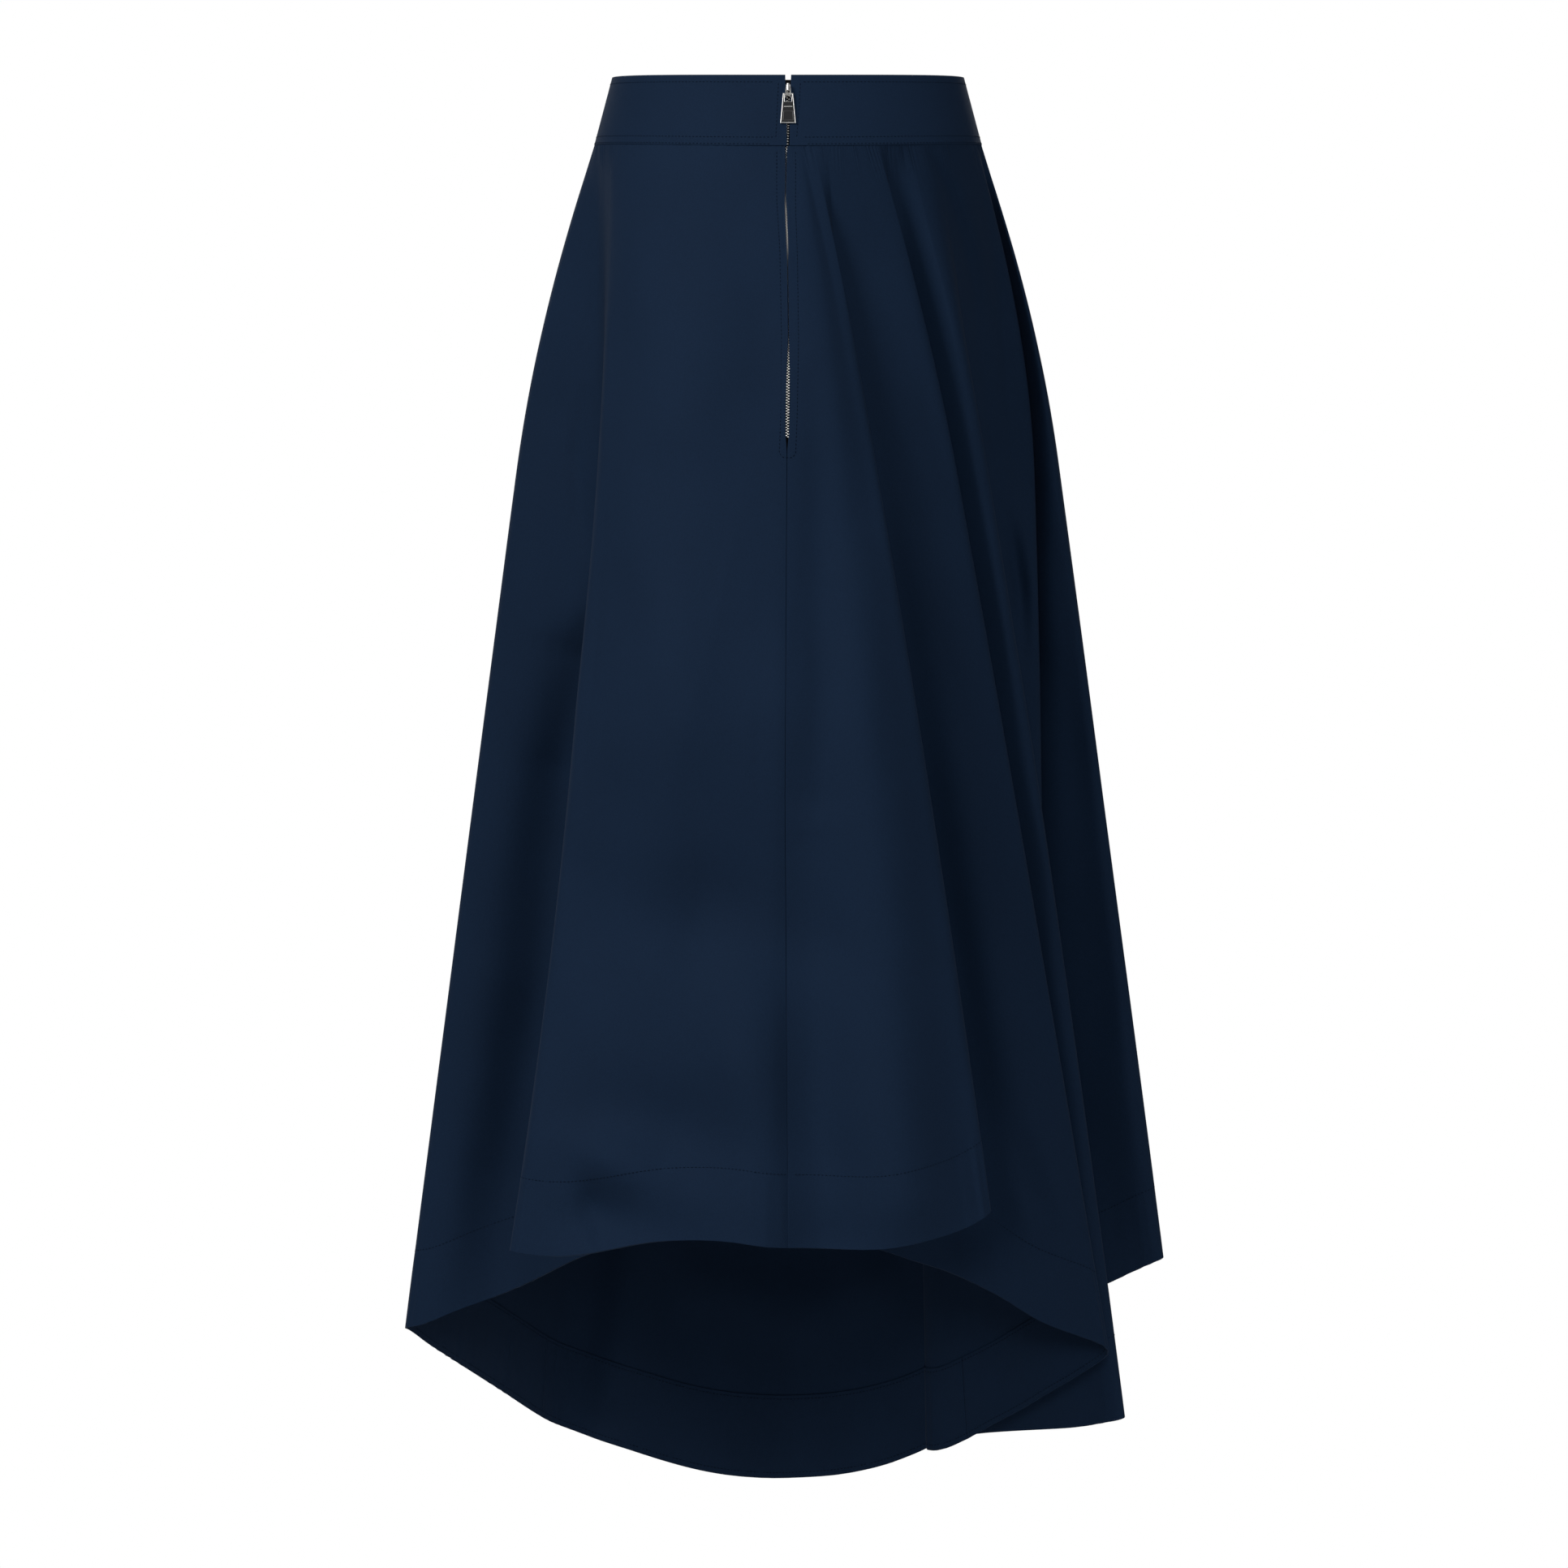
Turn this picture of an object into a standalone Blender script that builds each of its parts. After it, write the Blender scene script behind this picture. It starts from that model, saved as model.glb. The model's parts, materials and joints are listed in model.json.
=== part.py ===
"""An asymmetric flared midi skirt, filled out as when worn, with nobody in it.

The waistband is closed by a metal zip at the centre front. Below it the cloth falls in deep flutes on the
right and one on the left, and the hem is short in front, long at the back and uneven at the right side.
The frame has +Z up, +X to the viewer's right and the centre front towards -Y. Its origin is the centre of
the waist, half way up the waistband, where a wearer's waist holds the skirt. Sizes are in millimetres
until a mesh is written, which is in metres.
"""

import math

import bmesh
import bpy
import numpy as np
from mathutils import Vector

MM = 0.001

# Cloth and seams
WALL = 1.5                  # skirt cloth, outside to inside
BAND_WALL = 2.0             # waistband, which has more layers
BAND_PROUD = 0.5            # how far the band stands out over the skirt cloth
FACING_WALL = 1.0
SEAM_GAP = 0.3              # between any two pieces
BAND_DROP = 0.8             # from the band's lower edge outside to the skirt's top edge, so the walls clear too
FACING_TOP = 0.935          # level of the facing's upper edge, from 0 at the waist seam to 1 at the hem
FACING_FOOT = 0.9985        # the facing stops just above the hem

# The rings of the waistband: half width, half depth, height at the sides' mean, front to back rise, side rise
RING_COLUMNS = ("half_width", "half_depth", "height", "back_rise", "side_rise")
WAIST_TOP = dict(zip(RING_COLUMNS, (129.6, 93.0, 28.9, 5.6, 1.4)))
WAIST_SEAM = dict(zip(RING_COLUMNS, (142.8, 105.0, -21.9, 6.3, 2.4)))

# The cloth hangs round a fold cylinder at each row. x and y are the cylinder's centre at the hem, radius is
# positive where the cloth bulges out and negative in a valley, hem is the hem's height, ring and span are the
# fold's place and width on the waist seam in degrees from +X, hip is the share of the flare that is taken up
# over the hip, and bend is how far the fold's line swings towards +X half way down.
FOLD_COLUMNS = ("name", "x", "y", "radius", "hem", "ring", "span", "hip", "bend")
FOLDS = [dict(zip(FOLD_COLUMNS, row)) for row in (
    ("front_centre", -3, -90, 155, -814, -91.6, 3.0, 0.10, 0),
    ("front_right_swell", 37, -95, 150, -816, -88.0, 2.0, 0.10, 0),
    ("ridge_a", 135, -206, 9, -788, -84.5, 3.2, 0.04, 6),
    ("valley_b", 59, -118, -9, -826, -76.5, 3.6, 0.06, 2),
    ("ridge_c", 227, -42, 9, -904, -65.0, 3.6, 0.10, 3),
    ("valley_d", 112, 64, -8, -990, -58.5, 3.6, 0.12, 2),
    ("ridge_e", 242, 0, 8, -960, -50.5, 3.6, 0.10, 5),
    ("valley_f", 163, 54, -8, -905, -38.0, 4.0, 0.20, 4),
    ("ridge_h", 184, 50, 8, -890, -17.0, 5.0, 0.80, 4),
    ("valley_i", 168, 143, -8, -880, -8.0, 4.0, 0.48, 2),
    ("ridge_g", 274, 122, 10, -848, 4.0, 8.0, 0.19, 0),
    ("side_right_swell", 232, 174, 18, -872, 14.0, 6.0, 0.18, 0),
    ("back_right_swell", 167, 198, 50, -940, 34.0, 12.0, 0.18, 0),
    ("back_right_hollow", 92, 305, -40, -1014, 57.0, 8.0, 0.18, 0),
    ("back_swell", 17, 230, 50, -1037, 80.0, 12.0, 0.18, 0),
    ("back_left_hollow", -63, 296, -40, -1026, 102.0, 8.0, 0.18, 0),
    ("back_left_swell", -138, 180, 55, -986, 127.0, 14.0, 0.18, 0),
    ("ridge_left_c", -269, 6, 14, -894, 180.0, 9.0, 0.19, 0),
    ("valley_left_b", -145, -80, -9, -828, 197.0, 4.0, 0.14, 8),
    ("ridge_left_a", -189, -200, 9, -820, 210.0, 4.0, 0.12, 15),
    ("front_left_swell", -73, -70, 165, -810, 240.0, 16.0, 0.12, 2),
)]

# How much lower than the folds' own heights the hem hangs, at ring angles in between
HEM_DROPS = (
    (-88, 0), (-86, 5), (-84.5, 0), (-76.5, -1), (-73, -5), (-72, -9), (-70, -6), (-69, 1), (-67, -2), (-65, 0),
    (-64, 9), (-62, 10), (-61, 8), (-58.5, -2), (-56, -7), (-55, -4), (-53, 3), (-50.5, -1), (-38, 0), (-8, 6),
    (-2, 16), (-1, 10), (1, 6), (4, 1), (14, 0), (34, 10), (46, 29), (49, 20), (52, 15), (70, 4), (83, 1),
    (92, 3), (102, 8), (111, 11), (116, 14), (118, 13), (126, 4), (142, -3), (152, -1), (171, 2), (178, -2),
    (187, 1), (189, 5), (191, 7), (192, 4), (197, 2), (208, 0), (214, 5), (220, 9), (228, 8), (246, 3), (258, -1),
    (267, -2), (272, 0),
)

HIP_LEVEL = 0.28            # level down to which the cloth is shaped by the hip
SOFT_LEVEL = 0.22           # level by which the folds have come to their full sharpness
SOFT_WIDTH = 14.0           # how widely they are spread at the waist seam

# Where the panels meet, as degrees on the waist seam
SEAM_FRONT = -90.0
SEAM_RIGHT = 9.5
SEAM_LEFT = 170.0
JOINT_RIGHT = -60.9         # the facing's joints
JOINT_BACK = 136.0
JOINT_LEFT = 147.0

# The zip at the centre front
ZIP_FOOT = 0.272            # level where the opening ends
ZIP_OPENING = 3.0           # between the two cloth edges over the zip
NOTCH_OPENING = 4.2         # the same at the waistband's top edge
TAPE_FOOT = 0.288
TAPE_WIDTH = 9.5            # of each tape, beside the chain
TAPE_DEPTH = 2.9            # from the cloth's outside in to the tape
TAPE_WALL = 0.9
CHAIN_WIDTH = 3.8
CHAIN_WALL = 1.5
CHAIN_START = 0.86          # the chain's upper end, as a share of the way down its first length
CHAIN_END = 0.78            # its lower end, as a share of its last length
STOP_START = 0.81           # the bottom stop, as shares of the same last length
STOP_END = 0.93
STOP_WALL = 2.1

# The slider and its pull, measured down the band's slope from its top edge and outwards from its surface
SLIDER_TOP = 6.4
SLIDER_FOOT = 15.6
SLIDER_INNER = -5.2
SLIDER_OUTER = -2.1
SLIDER_HALF = 1.9
BRIDGE_ROWS = (7.9, 9.0, 12.5, 13.6)    # down the slope: outside, eye, eye, outside
BRIDGE_INNER = -2.6
BRIDGE_EYE = (1.3, 4.0)
BRIDGE_OUTER = 5.0
BRIDGE_HALF = 0.85
LINK_WIRE = 0.45
LINK_HALF = 1.65
LINK_TOP = 10.3             # where the link hangs in the bridge's eye
LINK_FRONT = 3.5            # height of the link's front wires
LINK_BACK = 1.25            # height of the turned-under end behind the tab's bar
LINK_FOOT = 18.0
TAB_BAR = 15.6              # middle of the tab's top bar
TAB_HEIGHT = 2.375          # height of the bar's middle
TAB_WALL = 0.9
TAB_ROWS = (15.1, 16.1, 21.2, 37.2)
TAB_TOP_HALF = 3.5
TAB_FOOT_HALF = 5.5
TAB_SLOT_HALF = 2.45
TAB_LEAN = 2.4              # degrees that the tab leans in, so that its foot lies by the band

# How finely the solids follow the form
DENSE_STEP = 1.0            # along the hem, for the outline that all columns are read from
LONGEST_STEP = 34.0
STEPS_PER_TURN = 13.0       # columns for each full turn of a fold
SMOOTHING = 4.0             # softens where a fold runs into the flat cloth
PANEL_LEVELS = (0.0, 0.035, 0.08, 0.135, 0.2, 0.272, 0.36, 0.5, 0.65, 0.8, FACING_TOP, 1.0)


def clear_scene():
    for obj in list(bpy.data.objects):
        bpy.data.objects.remove(obj)


def make_collection(name):
    found = bpy.data.collections.new(name)
    bpy.context.scene.collection.children.link(found)
    return found


def make_material(name, colour, roughness, metallic):
    material = bpy.data.materials.new(name)
    material.use_nodes = True
    shader = material.node_tree.nodes["Principled BSDF"]
    shader.inputs["Base Color"].default_value = (*colour, 1.0)
    shader.inputs["Roughness"].default_value = roughness
    shader.inputs["Metallic"].default_value = metallic
    return material


def ring_point(ring, degrees):
    """A point of a waistband ring."""
    angle = np.radians(degrees)
    rise = ring["back_rise"] * np.sin(angle) + ring["side_rise"] * np.cos(2 * angle)
    return np.stack([ring["half_width"] * np.cos(angle), ring["half_depth"] * np.sin(angle),
                     ring["height"] + rise], axis=-1)


def run_direction(first, second):
    """The direction of the straight run of cloth between two fold cylinders."""
    across = np.array([second["x"] - first["x"], second["y"] - first["y"]], float)
    lean = math.asin((second["radius"] - first["radius"]) / np.hypot(*across))
    return math.atan2(across[1], across[0]) - lean


def on_cylinder(fold, direction):
    """Where cloth that runs in this direction touches the fold's cylinder."""
    return np.array([fold["x"] + fold["radius"] * np.sin(direction),
                     fold["y"] - fold["radius"] * np.cos(direction)]).T


def outline_pieces():
    """The hem's outline in plan, fold by fold: its points, and the height, ring angle, hip and bend at each."""
    count = len(FOLDS)
    headings = [run_direction(FOLDS[i], FOLDS[(i + 1) % count]) for i in range(count)]
    for i, fold in enumerate(FOLDS):
        following = FOLDS[(i + 1) % count]
        before, after = headings[i - 1], headings[i]
        full = 2 * math.pi
        turn = (after - before) % full if fold["radius"] > 0 else -((before - after) % full)
        steps = max(2, round(abs(turn * fold["radius"]) / DENSE_STEP))
        share = np.linspace(0, 1, steps, endpoint=False)
        ring = fold["ring"] + fold["span"] * (share - 0.5)
        flat = 0 * share
        yield (on_cylinder(fold, before + turn * share), fold["hem"] + flat, ring, fold["hip"] + flat,
               fold["bend"] + flat)
        start, end = on_cylinder(fold, after), on_cylinder(following, after)
        steps = max(2, round(np.hypot(*(end - start)) / DENSE_STEP))
        share = np.linspace(0, 1, steps, endpoint=False)
        ring_start = fold["ring"] + fold["span"] / 2
        ring_end = following["ring"] - following["span"] / 2
        if ring_end < ring_start:
            ring_end += 360
        mixed = {column: fold[column] + (following[column] - fold[column]) * share
                 for column in ("hem", "hip", "bend")}
        yield (start + (end - start) * share[:, None], mixed["hem"],
               ring_start + (ring_end - ring_start) * share, mixed["hip"], mixed["bend"])


def smoothed(values, width):
    """Values round a closed outline, averaged with a bell curve this many steps wide."""
    reach = int(3 * width)
    bell = np.exp(-0.5 * (np.arange(-reach, reach + 1) / width) ** 2)
    bell /= bell.sum()
    ends = np.concatenate([values[-reach:], values, values[:reach]])
    return np.convolve(ends, bell, mode="valid")


class SkirtForm:
    """The outside of the skirt cloth as a function of the place round the hem and the level down it."""

    def __init__(self):
        plan, height, ring, hip, bend = [np.concatenate(part) for part in zip(*outline_pieces())]
        drift = np.linspace(0, 360, len(ring), endpoint=False)
        self.x = smoothed(plan[:, 0], SMOOTHING)
        self.y = smoothed(plan[:, 1], SMOOTHING)
        self.soft_x = smoothed(plan[:, 0], SOFT_WIDTH)
        self.soft_y = smoothed(plan[:, 1], SOFT_WIDTH)
        self.ring = smoothed(ring - drift, SMOOTHING) + drift
        drop = np.interp(self.ring, *zip(*HEM_DROPS))
        self.hem = smoothed(height - drop, 3 * SMOOTHING)
        self.hip = smoothed(hip, 4 * SMOOTHING)
        self.bend = smoothed(bend, 4 * SMOOTHING)
        self.count = len(ring)

    def read(self, values, place, turn=0.0):
        """One of the arrays at a fractional place, which may lie past the outline's end by whole rounds."""
        closed = np.append(values, values[0] + turn)
        rounds = np.floor(np.asarray(place) / self.count)
        inside = np.asarray(place) - rounds * self.count
        return np.interp(inside, np.arange(self.count + 1), closed) + rounds * turn

    def place_of_ring(self, degrees):
        """The place round the hem of the line that starts at this angle of the waist seam."""
        twice = np.concatenate([self.ring - 360, self.ring, self.ring + 360])
        places = np.arange(-self.count, 2 * self.count)
        return float(np.interp(degrees, twice, places))

    def point(self, place, level):
        """Points of the cloth's outside; place and level may be arrays of one shape."""
        start = ring_point(WAIST_SEAM, self.read(self.ring, place, 360.0))
        start[..., 2] -= BAND_DROP
        soft = np.clip(1 - level / SOFT_LEVEL, 0, None) ** 2
        across = self.read(self.x, place) * (1 - soft) + self.read(self.soft_x, place) * soft
        back = self.read(self.y, place) * (1 - soft) + self.read(self.soft_y, place) * soft
        hem = np.stack([across, back, self.read(self.hem, place)], -1)
        hip = self.read(self.hip, place)
        over_hip = 1 - np.clip(1 - level / HIP_LEVEL, 0, None) ** 2
        flare = (1 - hip) * level + hip * over_hip
        share = np.stack([flare, flare, level + 0 * flare], -1)
        points = start + (hem - start) * share
        points[..., 0] += self.read(self.bend, place) * 4 * level * (1 - level)
        return points

    def normal(self, place, level):
        """The outward normal, from points a little to each side."""
        round_it = self.point(place + 1.0, level) - self.point(place - 1.0, level)
        down_it = self.point(place, level + 0.004) - self.point(place, level - 0.004)
        across = np.cross(down_it, round_it)
        return across / np.linalg.norm(across, axis=-1, keepdims=True)

    def columns(self, breaks):
        """Places for the solids' columns: close together in the folds, and one at each break."""
        places = np.arange(self.count + 1)
        step = np.stack([np.diff(self.read(self.x, places)), np.diff(self.read(self.y, places))], -1)
        heading = np.unwrap(np.arctan2(step[:, 1], step[:, 0]))
        bend = np.abs(np.diff(heading, append=heading[0] + 2 * math.pi))
        weight = np.hypot(*step.T) / LONGEST_STEP + bend * STEPS_PER_TURN / (2 * math.pi)
        total = np.concatenate([[0], np.cumsum(weight)])
        marks = [self.read(total[:-1], mark, total[-1]) for mark in breaks]
        runs = []
        for here, there in zip(marks[:-1], marks[1:]):
            pieces = max(1, math.ceil(there - here))
            wanted = np.linspace(here, there, pieces + 1)
            rounds = np.floor(wanted / total[-1])
            found = np.interp(wanted - rounds * total[-1], total, np.arange(self.count + 1))
            runs.append(found + rounds * self.count)
        return runs


def add_object(name, mesh, material, collection):
    mesh.materials.append(material)
    obj = bpy.data.objects.new(name, mesh)
    collection.objects.link(obj)
    return obj


def thicken(obj, wall):
    """Gives an open surface its wall, from the outside inwards."""
    solidify = obj.modifiers.new("wall", "SOLIDIFY")
    solidify.thickness = wall * MM
    solidify.offset = -1.0
    solidify.use_even_offset = True
    solidify.use_rim = True


def cloth_from_points(name, points, wall, material, collection):
    """A cloth piece: a grid laid through rows of points, top row first and left to right, with a wall."""
    rows, columns = points.shape[:2]
    shape = bmesh.new()
    bmesh.ops.create_grid(shape, x_segments=columns - 1, y_segments=rows - 1, size=1.0)
    for vertex in shape.verts:
        column = round((vertex.co.x + 1) / 2 * (columns - 1))
        row = round((1 - vertex.co.y) / 2 * (rows - 1))
        vertex.co = Vector(points[row, column]) * MM
    mesh = bpy.data.meshes.new(name)
    shape.to_mesh(mesh)
    shape.free()
    mesh.shade_smooth()
    obj = add_object(name, mesh, material, collection)
    thicken(obj, wall)
    return obj


def slide_edge(points, column, neighbour, distance):
    """Moves one edge column of a grid of points towards its neighbour by a distance, which may vary by row."""
    along = points[:, neighbour] - points[:, column]
    along /= np.linalg.norm(along, axis=-1, keepdims=True)
    points[:, column] += along * np.broadcast_to(distance, len(points))[:, None]


def seam_allowance(levels):
    """Half the opening at the centre front: wide over the zip, then a plain seam."""
    return np.where(np.asarray(levels) < ZIP_FOOT - 0.001, ZIP_OPENING / 2, SEAM_GAP / 2)


def join_runs(runs):
    """Column places of neighbouring runs as one list, with each shared place kept once."""
    return np.concatenate([runs[0]] + [run[1:] for run in runs[1:]])


def skirt_grid(form, places, levels, inwards=0.0):
    place, level = np.meshgrid(places, np.asarray(levels, float))
    points = form.point(place, level)
    if inwards:
        points = points - form.normal(place, level) * inwards
    return points


def make_panels(form, runs, material, collection):
    """The three skirt panels. The right one has most of the flutes."""
    half_gap = SEAM_GAP / 2
    front = seam_allowance(PANEL_LEVELS)
    plain = np.full(len(PANEL_LEVELS), half_gap)
    for name, own_runs, first_gap, last_gap in (
        ("panel_front_right", runs["front_right"], front, plain),
        ("panel_back", runs["back"], plain, plain),
        ("panel_front_left", runs["front_left"], plain, front),
    ):
        points = skirt_grid(form, join_runs(own_runs), PANEL_LEVELS)
        slide_edge(points, 0, 1, first_gap)
        slide_edge(points, -1, -2, last_gap)
        cloth_from_points(name, points, WALL, material, collection)


def make_facings(form, runs, material, collection):
    """The deep hem facing inside the cloth, in three lengths, joined where the photo shows."""
    levels = (FACING_TOP, FACING_FOOT)
    for name, own_runs in (
        ("facing_front", runs["facing_front"]),
        ("facing_side", runs["facing_side"]),
        ("facing_back", runs["facing_back"]),
    ):
        points = skirt_grid(form, join_runs(own_runs), levels, WALL + SEAM_GAP)
        slide_edge(points, 0, 1, SEAM_GAP / 2)
        slide_edge(points, -1, -2, SEAM_GAP / 2)
        cloth_from_points(name, points, FACING_WALL, material, collection)


def band_grid(angles, shares, outwards):
    """Rows of points on the waistband: share 0 is the top edge and 1 the waist seam."""
    top = ring_point(WAIST_TOP, angles)
    seam = ring_point(WAIST_SEAM, angles)
    tangent = np.gradient(top, axis=0)
    out = np.cross(seam - top, tangent)
    out /= np.linalg.norm(out, axis=-1, keepdims=True)
    return np.stack([top + (seam - top) * share + out * outwards for share in shares])


def make_waistband(material, collection):
    """One shaped band that goes right round, open at the zip."""
    pieces = 56
    angles = SEAM_FRONT + np.linspace(0, 360, pieces + 1)
    points = band_grid(angles, (0.0, 0.5, 1.0), BAND_PROUD)
    opening = np.array([NOTCH_OPENING, 0.5 * (NOTCH_OPENING + ZIP_OPENING), ZIP_OPENING]) / 2
    slide_edge(points, 0, 1, opening)
    slide_edge(points, -1, -2, opening)
    cloth_from_points("waistband", points, BAND_WALL, material, collection)


def front_rows(form, inwards):
    """Curves round the front from near the band's top to the zip's foot, laid this far in from the cloth."""
    angles = SEAM_FRONT + np.linspace(-14, 14, 29)
    rows = list(band_grid(angles, (0.06, 0.5), BAND_PROUD - inwards))
    places = form.place_of_ring(SEAM_FRONT) + np.linspace(-90, 90, 61)
    levels = [level for level in PANEL_LEVELS if level < ZIP_FOOT - 0.001] + [TAPE_FOOT]
    rows += list(skirt_grid(form, places, levels, inwards))
    return rows


def front_grid(form, inwards, offsets):
    """Points at the given distances sideways of the centre front, one row for each of the front's rows."""
    points = []
    for row in front_rows(form, inwards):
        order = np.argsort(row[:, 0])
        back = np.interp(offsets, row[order, 0], row[order, 1])
        height = np.interp(offsets, row[order, 0], row[order, 2])
        points.append(np.stack([offsets, back, height], axis=-1))
    return np.array(points)


def make_zip_tapes(form, material, collection):
    inner = CHAIN_WIDTH / 2 + SEAM_GAP
    across = np.array([inner, inner + TAPE_WIDTH / 2, inner + TAPE_WIDTH])
    for name, offsets in (("zip_tape_left", -across[::-1]), ("zip_tape_right", across)):
        cloth_from_points(name, front_grid(form, TAPE_DEPTH, offsets), TAPE_WALL, material, collection)


def make_zip_chain(form, material, collection):
    """The closed chain of teeth as one strip from under the slider, and the bottom stop below it."""
    half = CHAIN_WIDTH / 2
    points = front_grid(form, TAPE_DEPTH, np.array([-half, 0.0, half]))
    last = points[-1] - points[-2]
    stop = np.stack([points[-2] + last * STOP_START, points[-2] + last * STOP_END])
    points[0] += (points[1] - points[0]) * CHAIN_START
    points[-1] = points[-2] + last * CHAIN_END
    cloth_from_points("zip_chain", points, CHAIN_WALL, material, collection)
    cloth_from_points("zip_bottom_stop", stop, STOP_WALL, material, collection)


def band_frame():
    """The middle of the band's top edge in front, the way down its slope and the way out from it."""
    top = Vector(ring_point(WAIST_TOP, SEAM_FRONT))
    seam = Vector(ring_point(WAIST_SEAM, SEAM_FRONT))
    top.x = seam.x = 0.0
    down = (seam - top).normalized()
    out = Vector((1, 0, 0)).cross(down)
    if out.y > 0:
        out = -out
    return top, down, out


def on_band(across, down_by, out_by):
    """A point given by how far it is across, down the band's slope and out from it."""
    top, down, out = band_frame()
    return (top + Vector((across, 0, 0)) + down * down_by + out * out_by) * MM


def plate_with_slot(name, rows, half_widths, slot_half, place, material, collection):
    """A plate of three by three cells with its middle cell open. place(side, row, face) gives each corner."""
    shape = bmesh.new()
    corners = {}
    for face in (0, 1):
        for i, row in enumerate(rows):
            for j, side in enumerate((-half_widths[i], -slot_half, slot_half, half_widths[i])):
                corners[face, i, j] = shape.verts.new(place(side, row, face))
    cells = [(i, j) for i in range(3) for j in range(3) if (i, j) != (1, 1)]
    for face in (0, 1):
        for i, j in cells:
            ring = [corners[face, i, j], corners[face, i, j + 1], corners[face, i + 1, j + 1],
                    corners[face, i + 1, j]]
            shape.faces.new(ring)
    rims = [[(i, 0) for i in range(4)], [(i, 3) for i in range(4)], [(0, j) for j in range(4)],
            [(3, j) for j in range(4)], [(1, 1), (2, 1), (2, 2), (1, 2), (1, 1)]]
    for rim in rims:
        for here, there in zip(rim[:-1], rim[1:]):
            shape.faces.new([corners[0, *here], corners[0, *there], corners[1, *there], corners[1, *here]])
    bmesh.ops.recalc_face_normals(shape, faces=shape.faces)
    mesh = bpy.data.meshes.new(name)
    shape.to_mesh(mesh)
    shape.free()
    return add_object(name, mesh, material, collection)


def add_bevel(obj, width):
    bevel = obj.modifiers.new("edges", "BEVEL")
    bevel.width = width * MM
    bevel.segments = 2
    bevel.limit_method = "ANGLE"


def box_on_band(name, half, rows, heights, material, collection):
    shape = bmesh.new()
    bmesh.ops.create_cube(shape, size=1.0)
    for vertex in shape.verts:
        vertex.co = on_band(half if vertex.co.x > 0 else -half, rows[vertex.co.z > 0], heights[vertex.co.y > 0])
    bmesh.ops.recalc_face_normals(shape, faces=shape.faces)
    mesh = bpy.data.meshes.new(name)
    shape.to_mesh(mesh)
    shape.free()
    return add_object(name, mesh, material, collection)


def make_slider(material, collection, tools):
    """The slider's narrow body between the tapes, with the bridge that holds the pull."""
    body = box_on_band("zip_slider", SLIDER_HALF, (SLIDER_TOP, SLIDER_FOOT), (SLIDER_INNER, SLIDER_OUTER),
                       material, collection)
    heights = (BRIDGE_INNER, BRIDGE_EYE[0], BRIDGE_EYE[1], BRIDGE_OUTER)
    eye_middle = sum(BRIDGE_ROWS[1:3]) / 2
    eye_half = (BRIDGE_ROWS[2] - BRIDGE_ROWS[1]) / 2
    outer_half = (BRIDGE_ROWS[3] - BRIDGE_ROWS[0]) / 2

    def bridge_place(side, row, face):
        return on_band(BRIDGE_HALF * (2 * face - 1), eye_middle + side, row)

    bridge = plate_with_slot("bridge", heights, [outer_half] * 4, eye_half, bridge_place, material, tools)
    bridge.hide_render = True
    bridge.display_type = "WIRE"
    union = body.modifiers.new("bridge", "BOOLEAN")
    union.operation = "UNION"
    union.solver = "EXACT"
    union.object = bridge
    add_bevel(body, 0.25)


def make_link(material, collection):
    """The wire link: its front wires run down over the tab's bar, and its end is turned under it."""
    under = TAB_BAR - 0.1
    front = [(0, LINK_TOP, LINK_FRONT - 0.6), (LINK_HALF * 0.6, LINK_TOP, LINK_FRONT - 0.6),
             (LINK_HALF, LINK_TOP + 0.9, LINK_FRONT - 0.3), (LINK_HALF, LINK_TOP + 2.6, LINK_FRONT),
             (LINK_HALF, LINK_FOOT - 1.4, LINK_FRONT), (LINK_HALF, LINK_FOOT - 0.35, LINK_FRONT - 0.4),
             (LINK_HALF, LINK_FOOT, (LINK_FRONT + LINK_BACK) / 2), (LINK_HALF, LINK_FOOT - 0.35, LINK_BACK + 0.4),
             (LINK_HALF, LINK_FOOT - 1.2, LINK_BACK), (LINK_HALF, under + 0.7, LINK_BACK),
             (LINK_HALF * 0.6, under, LINK_BACK), (0, under, LINK_BACK)]
    path = front + [(-across, down_by, out_by) for across, down_by, out_by in front[-2:0:-1]]
    curve = bpy.data.curves.new("pull_link", "CURVE")
    curve.dimensions = "3D"
    curve.bevel_depth = LINK_WIRE * MM
    curve.bevel_resolution = 2
    spline = curve.splines.new("POLY")
    spline.points.add(len(path) - 1)
    spline.use_cyclic_u = True
    for point, place in zip(spline.points, path):
        point.co = (*on_band(*place), 1.0)
    curve.materials.append(material)
    obj = bpy.data.objects.new("pull_link", curve)
    collection.objects.link(obj)


def make_tab(material, collection):
    """The pull tab: a plate that widens downwards, with a slot under its top bar."""
    lean = math.radians(TAB_LEAN)
    halves = [TAB_TOP_HALF + (TAB_FOOT_HALF - TAB_TOP_HALF) * (row - TAB_ROWS[0]) / (TAB_ROWS[3] - TAB_ROWS[0])
              for row in TAB_ROWS]

    def tab_place(side, row, face):
        along = row - TAB_BAR
        out_by = TAB_WALL * (face - 0.5)
        return on_band(side, TAB_BAR + along * math.cos(lean) - out_by * math.sin(lean),
                       TAB_HEIGHT - along * math.sin(lean) + out_by * math.cos(lean))

    tab = plate_with_slot("pull_tab", TAB_ROWS, halves, TAB_SLOT_HALF, tab_place, material, collection)
    add_bevel(tab, 0.2)


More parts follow.
